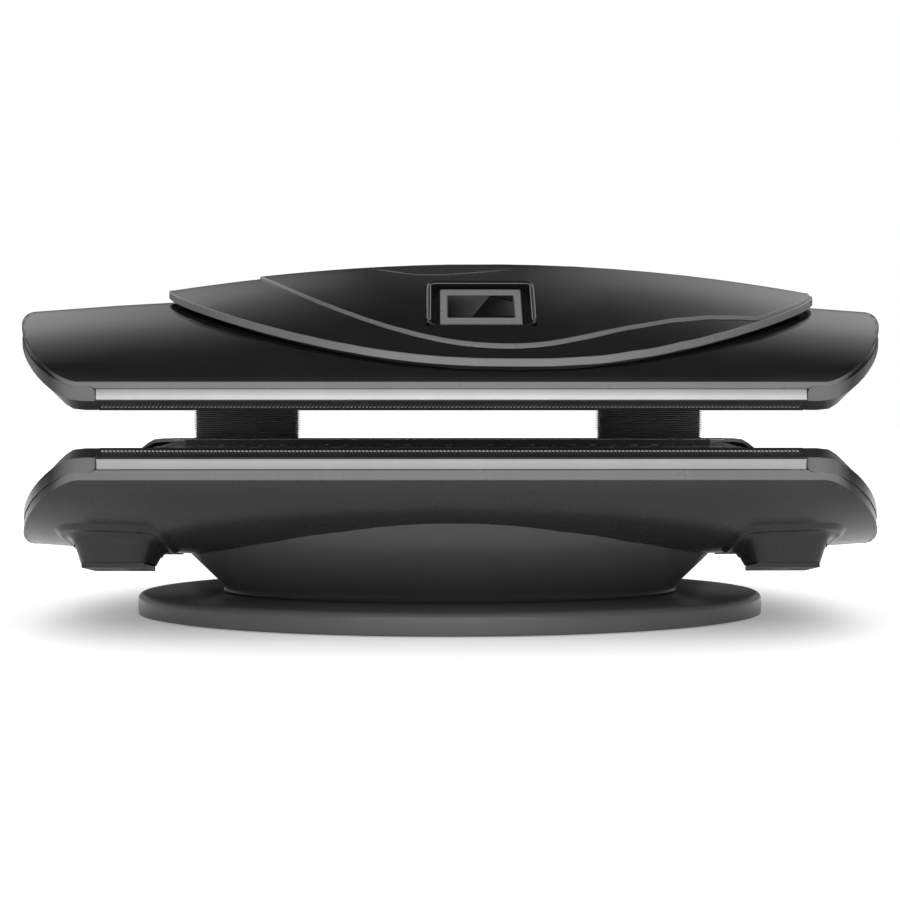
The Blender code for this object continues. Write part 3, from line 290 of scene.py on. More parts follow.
# Studio light by height above the horizon, in front of the object and behind it
FRONT_LIGHT = ((0.0, 0.55), (0.15, 0.55), (0.75, 0.1), (1.0, 0.1))
BACK_LIGHT = ((0.0, 0.12), (0.12, 0.19), (0.28, 0.5), (0.42, 0.68), (0.55, 0.88),
              (0.65, 0.96), (0.75, 0.82), (0.85, 0.64), (0.93, 0.4), (1.0, 0.22))
FRONT_GAIN = (1.05, 0.35)
FRONT_SIDES = (0.35, 0.85)
BACK_GAIN = (0.1, 1.35)
BACK_SIDES = (0.06, 0.34)
BACK_START = (-0.1, 0.3)
OVERHEAD_POWER = 3.0
OVERHEAD_ANGLE = math.radians(110.0)
FLOOR_REACH = 30.0
FLOOR_GLOW = 0.25
WHITE = (1.0, 1.0, 1.0, 1.0)


def node_tree(name):
    """Make an empty node material and return it with its tree and shader."""
    made = bpy.data.materials.new(name)
    made.use_nodes = True
    return made, made.node_tree, made.node_tree.nodes["Principled BSDF"]


def feed(tree, socket, given):
    """Link a socket to another node's output, or set its value."""
    if isinstance(given, bpy.types.NodeSocket):
        tree.links.new(given, socket)
    else:
        socket.default_value = given


def axes(tree, space):
    """Texture coordinates, with one output for each axis."""
    place = tree.nodes.new("ShaderNodeTexCoord")
    parts = tree.nodes.new("ShaderNodeSeparateXYZ")
    tree.links.new(place.outputs[space], parts.inputs["Vector"])
    return parts.outputs


def calculate(tree, operation, *values):
    """Work out a value from one or two others."""
    made = tree.nodes.new("ShaderNodeMath")
    made.operation = operation
    for socket, value in zip(made.inputs, values):
        feed(tree, socket, value)
    return made.outputs["Value"]


def rescale(tree, value, source, target=(0.0, 1.0)):
    """Spread one range of a value over another range."""
    made = tree.nodes.new("ShaderNodeMapRange")
    limits = zip(("From Min", "From Max", "To Min", "To Max"), (*source, *target))
    for socket, limit in limits:
        made.inputs[socket].default_value = limit
    tree.links.new(value, made.inputs["Value"])
    return made.outputs["Result"]


def mix(tree, kind, value, first, second):
    """Mix two colours or two numbers by a value."""
    made = tree.nodes.new("ShaderNodeMix")
    made.data_type = kind
    for socket, given in (("Factor", value), ("A", first), ("B", second)):
        feed(tree, made.inputs[socket], given)
    return made.outputs["Result"]


def mix_colours(tree, value, dark, light):
    """Mix two opaque colours by a value."""
    return mix(tree, "RGBA", value, (*dark, 1.0), (*light, 1.0))


def noise(tree, scale, detail, stretch=ROUND):
    """Noise on the object's own coordinates, stretched along the axes."""
    place = tree.nodes.new("ShaderNodeTexCoord")
    mapping = tree.nodes.new("ShaderNodeMapping")
    mapping.inputs["Scale"].default_value = stretch
    tree.links.new(place.outputs["Object"], mapping.inputs["Vector"])
    made = tree.nodes.new("ShaderNodeTexNoise")
    made.inputs["Scale"].default_value = scale
    made.inputs["Detail"].default_value = detail
    tree.links.new(mapping.outputs["Vector"], made.inputs["Vector"])
    return made.outputs["Fac"]


def add_sheen(tree, shader, rough, scale, detail, stretch=ROUND):
    """Uneven roughness between two limits."""
    sheen = rescale(tree, noise(tree, scale, detail, stretch), NOISE_SPAN, rough)
    tree.links.new(sheen, shader.inputs["Roughness"])


def add_bump(tree, shader, value, strength, distance):
    """Raise the surface by a value."""
    made = tree.nodes.new("ShaderNodeBump")
    made.inputs["Strength"].default_value = strength
    made.inputs["Distance"].default_value = distance
    tree.links.new(value, made.inputs["Height"])
    tree.links.new(made.outputs["Normal"], shader.inputs["Normal"])


def moulded(name, colour, rough, grain, depth=FINE_GRAIN, specular=0.5, metallic=0.0,
            blotch=0.12, stretch=ROUND):
    """Moulded or brushed surface: uneven colour and sheen, with a fine grain."""
    made, tree, shader = node_tree(name)
    dark = tuple(c * (1.0 - blotch) for c in colour)
    light = tuple(c * (1.0 + blotch) for c in colour)
    cloud = rescale(tree, noise(tree, *CLOUD_NOISE), NOISE_SPAN)
    tree.links.new(mix_colours(tree, cloud, dark, light), shader.inputs["Base Color"])
    add_sheen(tree, shader, rough, *SHEEN_NOISE, stretch)
    shader.inputs["Metallic"].default_value = metallic
    shader.inputs["Specular IOR Level"].default_value = specular
    add_bump(tree, shader, noise(tree, grain, GRAIN_DETAIL, stretch), GRAIN_STRENGTH, depth)
    return made


def brushed(name, colour):
    """Aluminium brushed along the bed."""
    return moulded(name, colour, (0.38, 0.42), 400.0, metallic=1.0, blotch=0.04, stretch=BRUSHED)


def rib_plastic(name, colour):
    """Plastic of the vents' ribs and their tips."""
    return moulded(name, colour, (0.3, 0.36), 200.0, 0.00004, blotch=0.05)


def end_shaded_plastic(name, colour, rough):
    """Grey plastic with painted shade: its colour darkens to black round the ends of the bed."""
    made = moulded(name, colour, rough, 80.0, blotch=0.04)
    tree = made.node_tree
    base = tree.nodes["Principled BSDF"].inputs["Base Color"]
    grey = base.links[0].from_socket
    # Painted shade: the grey is mixed to black by distance from the bed's middle.
    end_shade = rescale(tree, calculate(tree, "ABSOLUTE", axes(tree, "Object")["X"]), END_SHADE_SPAN)
    tree.links.new(mix(tree, "RGBA", end_shade, grey, (*DARK_PLASTIC, 1.0)), base)
    return made


def pleated_rubber(name):
    """Rubber with painted light: a painted highlight along the crests of the pleats and painted
    shade in their grooves.
    """
    made, tree, shader = node_tree(name)
    turn = calculate(tree, "MULTIPLY", axes(tree, "Generated")["Z"], 2 * math.pi * PLEATS)
    crest_highlight_mask = rescale(tree, calculate(tree, "COSINE", turn), CREST_SPAN)
    # Painted highlight on the crests, painted shade in the grooves.
    pleat_light_and_shade = mix_colours(tree, crest_highlight_mask, GROOVE_SHADE_RUBBER, CREST_HIGHLIGHT_RUBBER)
    tree.links.new(pleat_light_and_shade, shader.inputs["Base Color"])
    add_sheen(tree, shader, (0.3, 0.36), *SHEEN_NOISE)
    add_bump(tree, shader, noise(tree, 300.0, GRAIN_DETAIL), GRAIN_STRENGTH, RUBBER_GRAIN)
    return made


def lamp_board(name):
    """Circuit board with a grid of small round lamps."""
    made, tree, shader = node_tree(name)
    parts = axes(tree, "Object")
    cell = tree.nodes.new("ShaderNodeCombineXYZ")
    for axis in ("X", "Y"):
        share = calculate(tree, "FRACT", calculate(tree, "DIVIDE", parts[axis], LAMP_PITCH))
        tree.links.new(calculate(tree, "SUBTRACT", share, 0.5), cell.inputs[axis])
    far = tree.nodes.new("ShaderNodeVectorMath")
    far.operation = "LENGTH"
    tree.links.new(cell.outputs["Vector"], far.inputs[0])
    lamp = rescale(tree, far.outputs["Value"], LAMP_EDGE)
    tree.links.new(mix_colours(tree, lamp, BOARD_RED, LAMP_PALE), shader.inputs["Base Color"])
    add_sheen(tree, shader, (0.25, 0.4), 60.0, 2.0)
    add_bump(tree, shader, lamp, *LAMP_BUMP)
    return made


def clear_panel(name):
    """Clear acrylic with a faint haze."""
    made, tree, shader = node_tree(name)
    haze = rescale(tree, noise(tree, 6.0, 3.0), NOISE_SPAN)
    tree.links.new(mix_colours(tree, haze, *ACRYLIC_TINTS), shader.inputs["Base Color"])
    add_sheen(tree, shader, (0.06, 0.14), 30.0, 3.0)
    shader.inputs["Transmission Weight"].default_value = ACRYLIC_CLEAR
    shader.inputs["IOR"].default_value = ACRYLIC_IOR
    return made


def glare_glass(name):
    """Black display glass with a painted reflection: a slanting glare that grows towards the
    glass's middle.
    """
    made, tree, shader = node_tree(name)
    low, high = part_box("display_glass")
    middle = (low + high) / 2
    place = tree.nodes.new("ShaderNodeTexCoord")

    def along(direction, start, end):
        dot = tree.nodes.new("ShaderNodeVectorMath")
        dot.operation = "DOT_PRODUCT"
        dot.inputs[1].default_value = direction
        tree.links.new(place.outputs["Object"], dot.inputs[0])
        centre = middle.dot(direction)
        return rescale(tree, dot.outputs["Value"], (centre + start, centre + end))

    # Painted reflection: mask of the glare.
    lit = along(Vector((1.0, 0.0, -GLARE_LEAN)), GLARE_EDGE, -GLARE_EDGE)
    grown = along(Vector((1.0, 0.0, 0.0)), (low.x - high.x) / 2, 0.0)
    glare = calculate(tree, "MULTIPLY", lit, grown)
    tree.links.new(mix_colours(tree, glare, GLASS_DARK, GLASS_LIT), shader.inputs["Base Color"])
    add_sheen(tree, shader, (0.03, 0.05), 30.0, 2.0)
    shader.inputs["Specular IOR Level"].default_value = GLASS_SPECULAR
    return made


MATERIALS = {
    "gloss": moulded("gloss_black_plastic", (0.0075, 0.0075, 0.008), (0.1, 0.12), 40.0),
    "satin": moulded("satin_black_plastic", DARK_PLASTIC, (0.29, 0.31), 60.0),
    "belly": moulded("belly_black_plastic", (0.021, 0.021, 0.0215), (0.27, 0.29), 60.0,
                     specular=0.32, blotch=0.05),
    "base": moulded("base_black_plastic", (0.05, 0.05, 0.051), (0.33, 0.36), 60.0, blotch=0.05),
    "disc": moulded("disc_black_plastic", (0.075, 0.075, 0.0765), (0.29, 0.32), 60.0, blotch=0.05),
    "trim": moulded("grey_trim", TRIM_GREY, (0.27, 0.3), 80.0, blotch=0.04),
    # Lip bands and end caps, with painted shade that turns them black round the ends.
    "band": end_shaded_plastic("lip_band_plastic_shaded_ends", TRIM_GREY, (0.27, 0.3)),
    "cap": end_shaded_plastic("end_cap_plastic_shaded_ends", (0.1, 0.1, 0.102), (0.24, 0.27)),
    "seam": moulded("dark_seam", (0.004, 0.004, 0.004), (0.5, 0.6), 200.0),
    "vent": moulded("vent_plastic", DARK_PLASTIC, (0.42, 0.48), 200.0, 0.00005),
    "rib": rib_plastic("vent_rib_plastic", (0.045, 0.045, 0.046)),
    "tip": rib_plastic("vent_rib_tip", (0.6, 0.6, 0.61)),
    # A darker copy of the rib tips for the canopy: painted shade.
    "shaded_tip": rib_plastic("canopy_rib_tip_painted_shade", (0.22, 0.22, 0.224)),
    "aluminium": brushed("brushed_aluminium", (0.45, 0.45, 0.456)),
    # A darker copy of the brushed aluminium for the bed's rails: painted shade.
    "bed_rail": brushed("shaded_aluminium", (0.3, 0.3, 0.304)),
    "steel": moulded("painted_steel", (0.05, 0.05, 0.053), (0.38, 0.46), 200.0, 0.00005),
    "rubber": pleated_rubber("bellows_rubber"),
    "pad": moulded("floor_pad_rubber", (0.012, 0.012, 0.012), (0.7, 0.85), 300.0, 0.0002),
    "screw": moulded("dark_screw", (0.06, 0.06, 0.062), (0.3, 0.4), 300.0, 0.00003, metallic=1.0),
    "frame": moulded("display_frame_grey", (0.15, 0.15, 0.153), (0.27, 0.31), 200.0, blotch=0.04),
    "glass": glare_glass("display_glass_black"),
    "acrylic": clear_panel("clear_acrylic"),
    "board": lamp_board("lamp_board"),
}
NODE_MATERIALS = {
    "canopy_shell": "gloss", "hood": "gloss", "hood_cover": "gloss", "bed_shell": "belly",
    "base_plate": "disc", "pedestal_cover": "base", "chassis": "steel", "floor_pad": "pad",
    "rear_console": "satin", "canopy_carrier": "satin", "mains_inlet": "seam",
    "mains_switch": "gloss", "power_supply": "aluminium", "bed_acrylic": "acrylic",
    "canopy_acrylic": "acrylic", "bed_led_panel": "board", "canopy_led_panel": "board",
    "bed_frame": "aluminium", "canopy_frame": "aluminium", "display_tray": "gloss",
    "display_frame": "frame", "display_glass": "glass", "bed_front_rail": "bed_rail",
    "bed_rear_rail": "bed_rail",
}
GROUP_MATERIALS = (("_rail", "aluminium"), ("_strip", "vent"), ("_end_cap_", "cap"),
                   ("exhaust_duct_", "belly"), ("fan_guard_", "vent"), ("fan_rotor_", "satin"),
                   ("column_", "aluminium"), ("lift_", "steel"), ("bellows_", "rubber"))


def normals_group(name):
    """Make a geometry node group that sets a mesh's normals, and return it with that node."""
    tree = bpy.data.node_groups.new(name, "GeometryNodeTree")
    for way in ("INPUT", "OUTPUT"):
        tree.interface.new_socket("Geometry", in_out=way, socket_type="NodeSocketGeometry")
    shade = tree.nodes.new("GeometryNodeSetMeshNormal")
    start, end = tree.nodes.new("NodeGroupInput"), tree.nodes.new("NodeGroupOutput")
    tree.links.new(start.outputs["Geometry"], shade.inputs["Mesh"])
    tree.links.new(shade.outputs["Mesh"], end.inputs["Geometry"])
    return tree, shade


def smooth_group():
    """Node group that shades every face smoothly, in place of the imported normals."""
    tree, shade = normals_group("smooth_shading")
    shade.inputs["Remove Custom"].default_value = True
    shade.inputs["Face Sharpness"].default_value = False
    return tree


def even_group():
    """Node group that evens out the shading of a large smooth form."""
    tree, shade = normals_group("even_shading")
    shade.mode = "FREE"
    shade.domain = "POINT"
    blur = tree.nodes.new("GeometryNodeBlurAttribute")
    blur.data_type = "FLOAT_VECTOR"
    blur.inputs["Iterations"].default_value = EVEN_STEPS
    normal = tree.nodes.new("GeometryNodeInputNormal")
    tree.links.new(normal.outputs["Normal"], blur.inputs["Value"])
    tree.links.new(blur.outputs["Value"], shade.inputs["Custom Normal"])
    return tree


def dress_node(name, obj, smooth, even):
    """Give a CAD node its material, and smooth shading by modifiers alone."""
    chosen = NODE_MATERIALS.get(name)
    if chosen is None:
        chosen = next(kind for part, kind in GROUP_MATERIALS if part in name)
    obj.data.materials.clear()
    obj.data.materials.append(MATERIALS[chosen])
    if "_end_cap_" in name:
        obj.data.materials.append(MATERIALS["vent"])
        for face in obj.data.polygons:
            face.material_index = int(abs(face.normal.z) > CAP_SLOPE)
    obj.modifiers.new("smooth", "NODES").node_group = smooth
    weld = obj.modifiers.new("weld", "WELD")
    weld.merge_threshold = WELD
    edges = SOFT_EDGES.get(name, RAIL_EDGE if "_rail" in name else 0.0)
    if edges > 0.0:
        bevel = obj.modifiers.new("edges", "BEVEL")
        bevel.width = edges
        bevel.segments = EDGE_SEGMENTS
        bevel.limit_method = "ANGLE"
        bevel.angle_limit = CREASE_ANGLE
        bevel.harden_normals = True
        return
    split = obj.modifiers.new("creases", "EDGE_SPLIT")
    split.split_angle = CREASE_ANGLE
    if name in EVEN_NODES:
        obj.modifiers.new("even", "NODES").node_group = even


def surface(name):
    """Search tree on a CAD node's faces."""
    mesh = NODES[name].data
    return BVHTree.FromPolygons([v.co for v in mesh.vertices], [p.vertices for p in mesh.polygons])


def height(tree, place, start, direction):
    """Height where an upright line from a start height first meets a surface."""
    return tree.ray_cast(Vector((place.x, place.y, start)), direction)[0].z


def add_object(name, data):
    """Add an object to the scene."""
    obj = bpy.data.objects.new(name, data)
    bpy.context.scene.collection.objects.link(obj)
    return obj


def add_rider(name, data, body):
    """Add a piece that rides on a CAD body, or on none yet."""
    obj = add_object(name, data)
    if body is not None:
        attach(obj, body)
    return obj


def add_piece(name, work, kind, body, smooth=True):
    """Turn a bmesh into a piece."""
    bmesh.ops.recalc_face_normals(work, faces=work.faces)
    mesh = bpy.data.meshes.new(name)
    work.to_mesh(mesh)
    work.free()
    mesh.materials.append(MATERIALS[kind])
    if smooth:
        mesh.shade_smooth()
        mesh.set_sharp_from_angle(angle=CREASE_ANGLE)
    return add_rider(name, mesh, body)


def add_wire(name, line, radius, kind, body):
    """Thin round line through points, as a piece."""
    curve = bpy.data.curves.new(name, "CURVE")
    curve.dimensions = "3D"
    curve.bevel_depth = radius
    curve.bevel_resolution = WIRE_ROUNDNESS
    curve.use_fill_caps = True
    spline = curve.splines.new("POLY")
    spline.points.add(len(line) - 1)
    for point, place in zip(spline.points, line):
        point.co = (*place, 1.0)
    curve.materials.append(MATERIALS[kind])
    add_rider(name, curve, body)


def loft(rings, closed=False, ends=False):
    """Join rings of points with faces: in a closed chain, or with faces over its two ends."""
    work = bmesh.new()
    made = [[work.verts.new(p) for p in ring] for ring in rings]
    for low, high in zip(made, made[1:] + made[:1] if closed else made[1:]):
        for i in range(len(low)):
            work.faces.new((low[i - 1], low[i], high[i], high[i - 1]))
    if ends:
        work.faces.new(made[0])
        work.faces.new(made[-1])
    return work


def prism(work, corners, lift):
    """Raise a flat outline by a vector, as a closed body."""
    low = [work.verts.new(c) for c in corners]
    high = [work.verts.new(Vector(c) + lift) for c in corners]
    work.faces.new(low[::-1])
    work.faces.new(high)
    for i in range(len(low)):
        work.faces.new((low[i - 1], low[i], high[i], high[i - 1]))


def quarter_turns():
    """Angles of a round corner."""
    return [math.pi / 2 * i / CAP_CORNER_STEPS for i in range(CAP_CORNER_STEPS + 1)]


def signed_power(value, power):
    """Power of a value's size, with the value's sign."""
    return math.copysign(abs(value) ** power, value)


def rounded(half_x, half_y, radius, steps=6):
    """Outline of a rectangle with round corners."""
    points = []
    for corner, (sx, sy) in enumerate(((1, 1), (-1, 1), (-1, -1), (1, -1))):
        for i in range(steps + 1):
            angle = math.pi / 2 * (corner + i / steps)
            points.append((sx * (half_x - radius) + radius * math.cos(angle),
                           sy * (half_y - radius) + radius * math.sin(angle)))
    return points


def smooth_line(points, steps):
    """Smooth line through points."""
    line = []
    padded = [points[0] * 2 - points[1], *points, points[-1] * 2 - points[-2]]
    for p, q, r, s in zip(padded, padded[1:], padded[2:], padded[3:]):
        for step in range(steps):
            t = step / steps
            line.append(0.5 * (2 * q + (r - p) * t + (2 * p - 5 * q + 4 * r - s) * t ** 2
                               + (3 * q - p - 3 * r + s) * t ** 3))
    return line + [points[-1]]


def tilted_box(name, turn):
    """Matrix to the middle of a CAD node in a tilted frame, and the node's half sizes there."""
    flat = turn.inverted().to_3x3()
    points = [flat @ v.co for v in NODES[name].data.vertices]
    spans = [(min(p[k] for p in points), max(p[k] for p in points)) for k in range(3)]
    middle = Vector([(a + b) / 2 for a, b in spans])
    return turn @ Matrix.Translation(middle), [(b - a) / 2 for a, b in spans]


def strip_box(half, row, sign):
    """Corners of a vent strip, and the height of the ridge where it meets its rim's inside."""
    low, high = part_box(half + "_" + row + "_strip")
    return low, high, high.z if sign < 0 else low.z


def rim_end(half, sign):
    """Where a rim's rails end along the bed, and the height of its ridge."""
    _, high, ridge_z = strip_box(half, "front", sign)
    return high.x, ridge_z


def build_bellows():
    """Pleated sleeves between the console and the canopy."""
    last = PLEATS * PLEAT_ROWS
    for side, _ in SIDES:
        name = "bellows_" + side
        low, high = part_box(name)
        middle = (low + high) / 2
        rings = []
        for row in range(last + 1):
            share = (row % PLEAT_ROWS) / PLEAT_ROWS
            inset = PLEAT_DEPTH * (0.5 + 0.5 * math.cos(2 * math.pi * share)) ** FOLD_POWER
            outline = rounded((high.x - low.x) / 2 - inset, (high.y - low.y) / 2 - inset,
                              BELLOWS_CHAMFER, BELLOWS_CORNER_STEPS)
            z = low.z + (high.z - low.z) * row / last
            rings.append([(middle.x + x, middle.y + y, z) for x, y in outline])
        piece = add_piece("pleated_" + name, loft(rings), "rubber", None)
        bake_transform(piece)
        wall = piece.modifiers.new("wall", "SOLIDIFY")
        wall.thickness = BELLOWS_WALL
        wall.offset = -1.0
        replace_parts(piece, name)


def build_vent_ribs():
    """Slanted ribs along the vent strips on the rim's sloping face."""
    for half, sign in HALVES:
        # The canopy's rib tips take the darker copy, painted shade.
        tip = "tip" if half == "bed" else "shaded_tip"
        parts = (("ribs", "rib", RIB_START, RIB_END, RIB_WIDTH),
                 ("rib_tips", tip, TIP_START, RIB_START, TIP_WIDTH))
        for row, toward in ROWS:
            low, high, ridge_z = strip_box(half, row, sign)
            ridge_y = high.y if toward < 0 else low.y
            slope, rise = math.cos(STRIP_SLOPE), math.sin(STRIP_SLOPE)
            slanted = Vector((RIB_SLANT, toward * slope, sign * rise))
            lift = Vector((0.0, toward * rise, -sign * slope)) * RIB_HEIGHT
            count = int((high.x - low.x - 2 * TIP_WIDTH) / RIB_PITCH)
            middle_x = (low.x + high.x - RIB_SLANT * (TIP_START + RIB_END)) / 2
            for part, kind, start, end, width in parts:
                work = bmesh.new()
                across = Vector((width / 2, 0.0, 0.0))
                for i in range(count):
                    x = middle_x + (i - (count - 1) / 2) * RIB_PITCH
                    origin = Vector((x, ridge_y, ridge_z))
                    near, far = origin + slanted * start, origin + slanted * end
                    prism(work, [near - across, near + across, far + across, far - across], lift)
                name = "_".join((half, row, "vent", part))
                add_piece(name, work, kind, half, smooth=False)


def build_inner_trims():
    """Dark slotted trims inside the rim, over the upper edge of each acrylic panel."""
    count = int(2 * INNER_TRIM_REACH / SLOT_PITCH)
    for half, sign in HALVES:
        for row, toward in ROWS:
            low, high, ridge_z = strip_box(half, row, sign)
            edge_y = low.y if toward < 0 else high.y
            wall = Vector((0.0, -toward * INNER_TRIM_WALL, 0.0))
            work = bmesh.new()

            def point(x, share):
                inset, drop = (top + (foot - top) * share
                               for top, foot in zip(INNER_TRIM_TOP, INNER_TRIM_FOOT))
                return Vector((x, edge_y - toward * inset, ridge_z + sign * drop))

            def plate(x0, x1, s0, s1):
                prism(work, [point(x0, s0), point(x1, s0), point(x1, s1), point(x0, s1)], wall)

            plate(-INNER_TRIM_REACH, INNER_TRIM_REACH, 0.0, SLOT_SHARES[0])
            plate(-INNER_TRIM_REACH, INNER_TRIM_REACH, SLOT_SHARES[1], 1.0)
            left = -INNER_TRIM_REACH
            for i in range(count):
                start = (i - (count - 1) / 2) * SLOT_PITCH - SLOT_LENGTH / 2
                plate(left, start, *SLOT_SHARES)
                left = start + SLOT_LENGTH
            plate(left, INNER_TRIM_REACH, *SLOT_SHARES)
            name = "_".join((half, row, "inner_trim"))
            add_piece(name, work, "vent", half, smooth=False)


def add_screw(work, place, normal, radius):
    """Low round screw head on a surface."""
    turn = normal.to_track_quat("Z", "Y").to_matrix().to_4x4()
    head = bmesh.ops.create_cone(work, cap_ends=True, segments=SCREW_SIDES, radius1=radius,
                                 radius2=radius * SCREW_TAPER, depth=SCREW_HEIGHT)["verts"]
    bmesh.ops.transform(work, matrix=Matrix.Translation(place) @ turn, verts=head)


def build_cap_screws():
    """Small round screw heads on the sloping face of the end caps."""
    for half, sign in HALVES:
        _, high, ridge_z = strip_box(half, "front", sign)
        work = bmesh.new()
        for side, mirror in SIDES:
            tree = surface(half + "_end_cap_" + side)
            for _, toward in ROWS:
                for x in CAP_SCREWS:
                    aim = Vector((mirror * x, -toward * (high.y - CAP_SCREW_INSET),
                                  ridge_z + sign * STRIP_RISE / 2))
                    place, normal, _, _ = tree.find_nearest(aim)
                    add_screw(work, place, normal if normal.z * sign < 0 else -normal, SCREW_RADIUS)
        add_piece(half + "_cap_screws", work, "screw", half)


def hood_spread(x, y):
    """Superellipse distance from the hood's middle: 1 at its edge."""
    reach = HOOD_RIGHT if x > HOOD_X else HOOD_LEFT
    along, across = abs((x - HOOD_X) / reach), abs(y / HOOD_HALF_DEPTH)
    return (along ** HOOD_POWER + across ** HOOD_POWER) ** (1 / HOOD_POWER)


def hood_point(angle):
    """Point on the hood's edge."""
    c, s = math.cos(angle), math.sin(angle)
    power = 2.0 / HOOD_POWER
    reach = HOOD_RIGHT if c > 0.0 else HOOD_LEFT
    return Vector((HOOD_X + signed_power(c, power) * reach,
                   signed_power(s, power) * HOOD_HALF_DEPTH))


def in_cover(x, y):
    """Whether a point is in the cover's plan: round on the left, with a tail on the right."""
    if x < COVER_X:
        share = min((COVER_X - x) / COVER_LEFT, 1.0)
        depth = COVER_HALF_DEPTH * (1.0 - share ** COVER_POWER) ** (1.0 / COVER_POWER)
    else:
        share = min((x - COVER_X) / COVER_TAIL, 1.0)
        swell = (1.0 + math.cos(math.pi * share)) / 2
        depth = COVER_TAIL_DEPTH + (COVER_HALF_DEPTH - COVER_TAIL_DEPTH) * swell
    return abs(y) < depth and hood_spread(x, y) < 1.0 - COVER_MARGIN


def cover_point(angle):
    """Point on the raised cover's edge."""
    reach = Vector((math.cos(angle) * HALF_LENGTH, math.sin(angle) * HOOD_HALF_DEPTH * 2.0))
    low, high = 0.0, 1.0
    for _ in range(EDGE_SEARCH_STEPS):
        share = (low + high) / 2
        if in_cover(COVER_X + reach.x * share, reach.y * share):
            low = share
        else:
            high = share
    return Vector((COVER_X + reach.x * low, reach.y * low))


def edge_and_out(place, angle):
    """Point on an edge, and the outward direction there."""
    along = place(angle + TURN_STEP) - place(angle - TURN_STEP)
    return place(angle), Vector((along.y, -along.x)).normalized()


def build_hood_trims():
    """Grey lip round the hood, and a chamfered bead round its raised cover."""
    hood = surface("hood")
    lips, beads = [], []
    for i in range(TRIM_STEPS):
        angle = 2 * math.pi * (i + 0.5) / TRIM_STEPS
        edge, out = edge_and_out(hood_point, angle)
        inside, face = edge - out * LIP_DEEP, edge + out * LIP_PROUD
        crown_z = height(hood, inside, ABOVE, -UP)
        section = ((inside, LIP_RISE), (edge, LIP_RISE), (face, -LIP_CHAMFER),
                   (face, LIP_UNDERCUT - HOOD_LIP), (edge, -HOOD_LIP), (inside, -HOOD_LIP))
        lips.append([(p.x, p.y, crown_z + rise) for p, rise in section])
        edge, out = edge_and_out(cover_point, angle)
        foot, crown = edge + out * BEAD_OUT, edge - out * BEAD_IN
        shoulder = edge + out * BEAD_OUT * BEAD_SHOULDER
        foot_z = height(hood, foot, ABOVE, -UP)
        crown_z = height(hood, crown, ABOVE, -UP) + COVER_STEP
        section = ((foot, foot_z - BEAD_SUNK), (foot, foot_z + BEAD_FOOT),
                   (shoulder, crown_z - BEAD_SLOPE), (edge, crown_z + BEAD_RISE),
                   (crown, crown_z + BEAD_RISE), (crown, crown_z - BEAD_SUNK))
        beads.append([(p.x, p.y, z) for p, z in section])
    for name, rings in (("hood_lip_trim", lips), ("hood_cover_bead", beads)):
        add_piece(name, loft(rings, closed=True), "trim", "canopy")


def barrel(place):
    """Height of a shell's barrel form above its edge."""
    share = max(0.0, 1.0 - (place.y / HALF_DEPTH) ** 2)
    return (SHELL_RISE - END_DROP * (place.x / HALF_LENGTH) ** 2) * share ** BARREL_POWER


def plan_loop():
    """Points round the bowed plan, with the outward direction at each."""
    power = 2.0 / PLAN_POWER
    points = []
    for mirror in (1, -1):
        for i in range(PLAN_STEPS + 1):
            angle = mirror * math.pi * (i / PLAN_STEPS - 0.5)
            c, s = abs(math.cos(angle)), math.sin(angle)
            place = Vector((mirror * (PLAN_STRAIGHT + PLAN_BOW * c ** power),
                            signed_power(s, power) * HALF_DEPTH))
            out = Vector((mirror * c ** (2.0 - power) / PLAN_BOW,
                          signed_power(s, 2.0 - power) / HALF_DEPTH))
            points.append((place, out.normalized()))
    return points


def end_loop(mirror):
    """The part of the plan's loop that is round one end."""
    return [(place, out) for place, out in plan_loop() if place.x * mirror >= PLAN_STRAIGHT]


def build_lip_bands():
    """Grey band on each shell's lip, full under the rails and narrow round the ends, where painted
    shade turns it black.
    """
    for half, sign in HALVES:
        _, ridge_z = rim_end(half, sign)
        rings = []
        for place, out in plan_loop():
            foot = ridge_z + sign * (RAIL_FOOT + LIPS[half] + barrel(place))
            narrow = BAND_END_SHARE * (1.0 - abs(out.y) ** BAND_END_POWER)
            tall = LIPS[half] * (1.0 - narrow) - BAND_ROUND / 2
            inner, outer = place - out * BAND_DEEP, place + out * BAND_PROUD
            edge = place + out * (BAND_PROUD - BAND_ROUND)
            section = ((inner, 0.0), (edge, 0.0), (outer, BAND_ROUND), (outer, tall - BAND_ROUND),
                       (edge, tall), (inner, tall))
            rings.append([(p.x, p.y, foot - sign * rise) for p, rise in section])
        add_piece(half + "_lip_band", loft(rings, closed=True), "band", half)


def build_liners():
    """Dark liners behind the gap between each shell and its end caps: painted shade, dark sheets
    where the gap lies in shade.
    """
    for half, sign in HALVES:
        rail_end, ridge_z = rim_end(half, sign)
        top, foot = LINER_TOP, RAIL_FOOT + LIPS[half]
        for side, mirror in SIDES:
            loop = end_loop(mirror)
            first, last = ((Vector((mirror * rail_end, place.y)), out)
                           for place, out in (loop[0], loop[-1]))
            rings = []
            for place, out in (first, *loop, last):
                lift = barrel(place)
                inner = place - out * (LINER_INSET + LINER_WALL)
                outer = place - out * LINER_INSET
                section = ((inner, top), (outer, top), (outer, foot), (inner, foot))
                rings.append([(p.x, p.y, ridge_z + sign * (drop + lift)) for p, drop in section])
            name = "_".join((half, "end_liner", side))
            add_piece(name, loft(rings, ends=True), "seam", half)


def cap_face_points(start, toward, mirror):
    """Points along an end cap's face, each with its outward direction, foot and fullness."""
    points = []
    for angle in quarter_turns():
        x = start + CAP_CORNER * (1.0 - math.cos(angle))
        foot = FACE_FOOT - CAP_CORNER * (1.0 - math.sin(angle))
        points.append((Vector((mirror * x, toward * HALF_DEPTH)), Vector((0.0, toward)), foot, 1.0))
    corner = [(place, out) for place, out in end_loop(mirror) if out.y * toward > FACE_END]
    for place, out in sorted(corner, key=lambda pair: abs(pair[0].x)):
        share = (abs(out.y) - FACE_END) / (1.0 - FACE_END)
        points.append((place, out, CAP_FOOT + (FACE_FOOT - CAP_FOOT) * share, share))
    return points


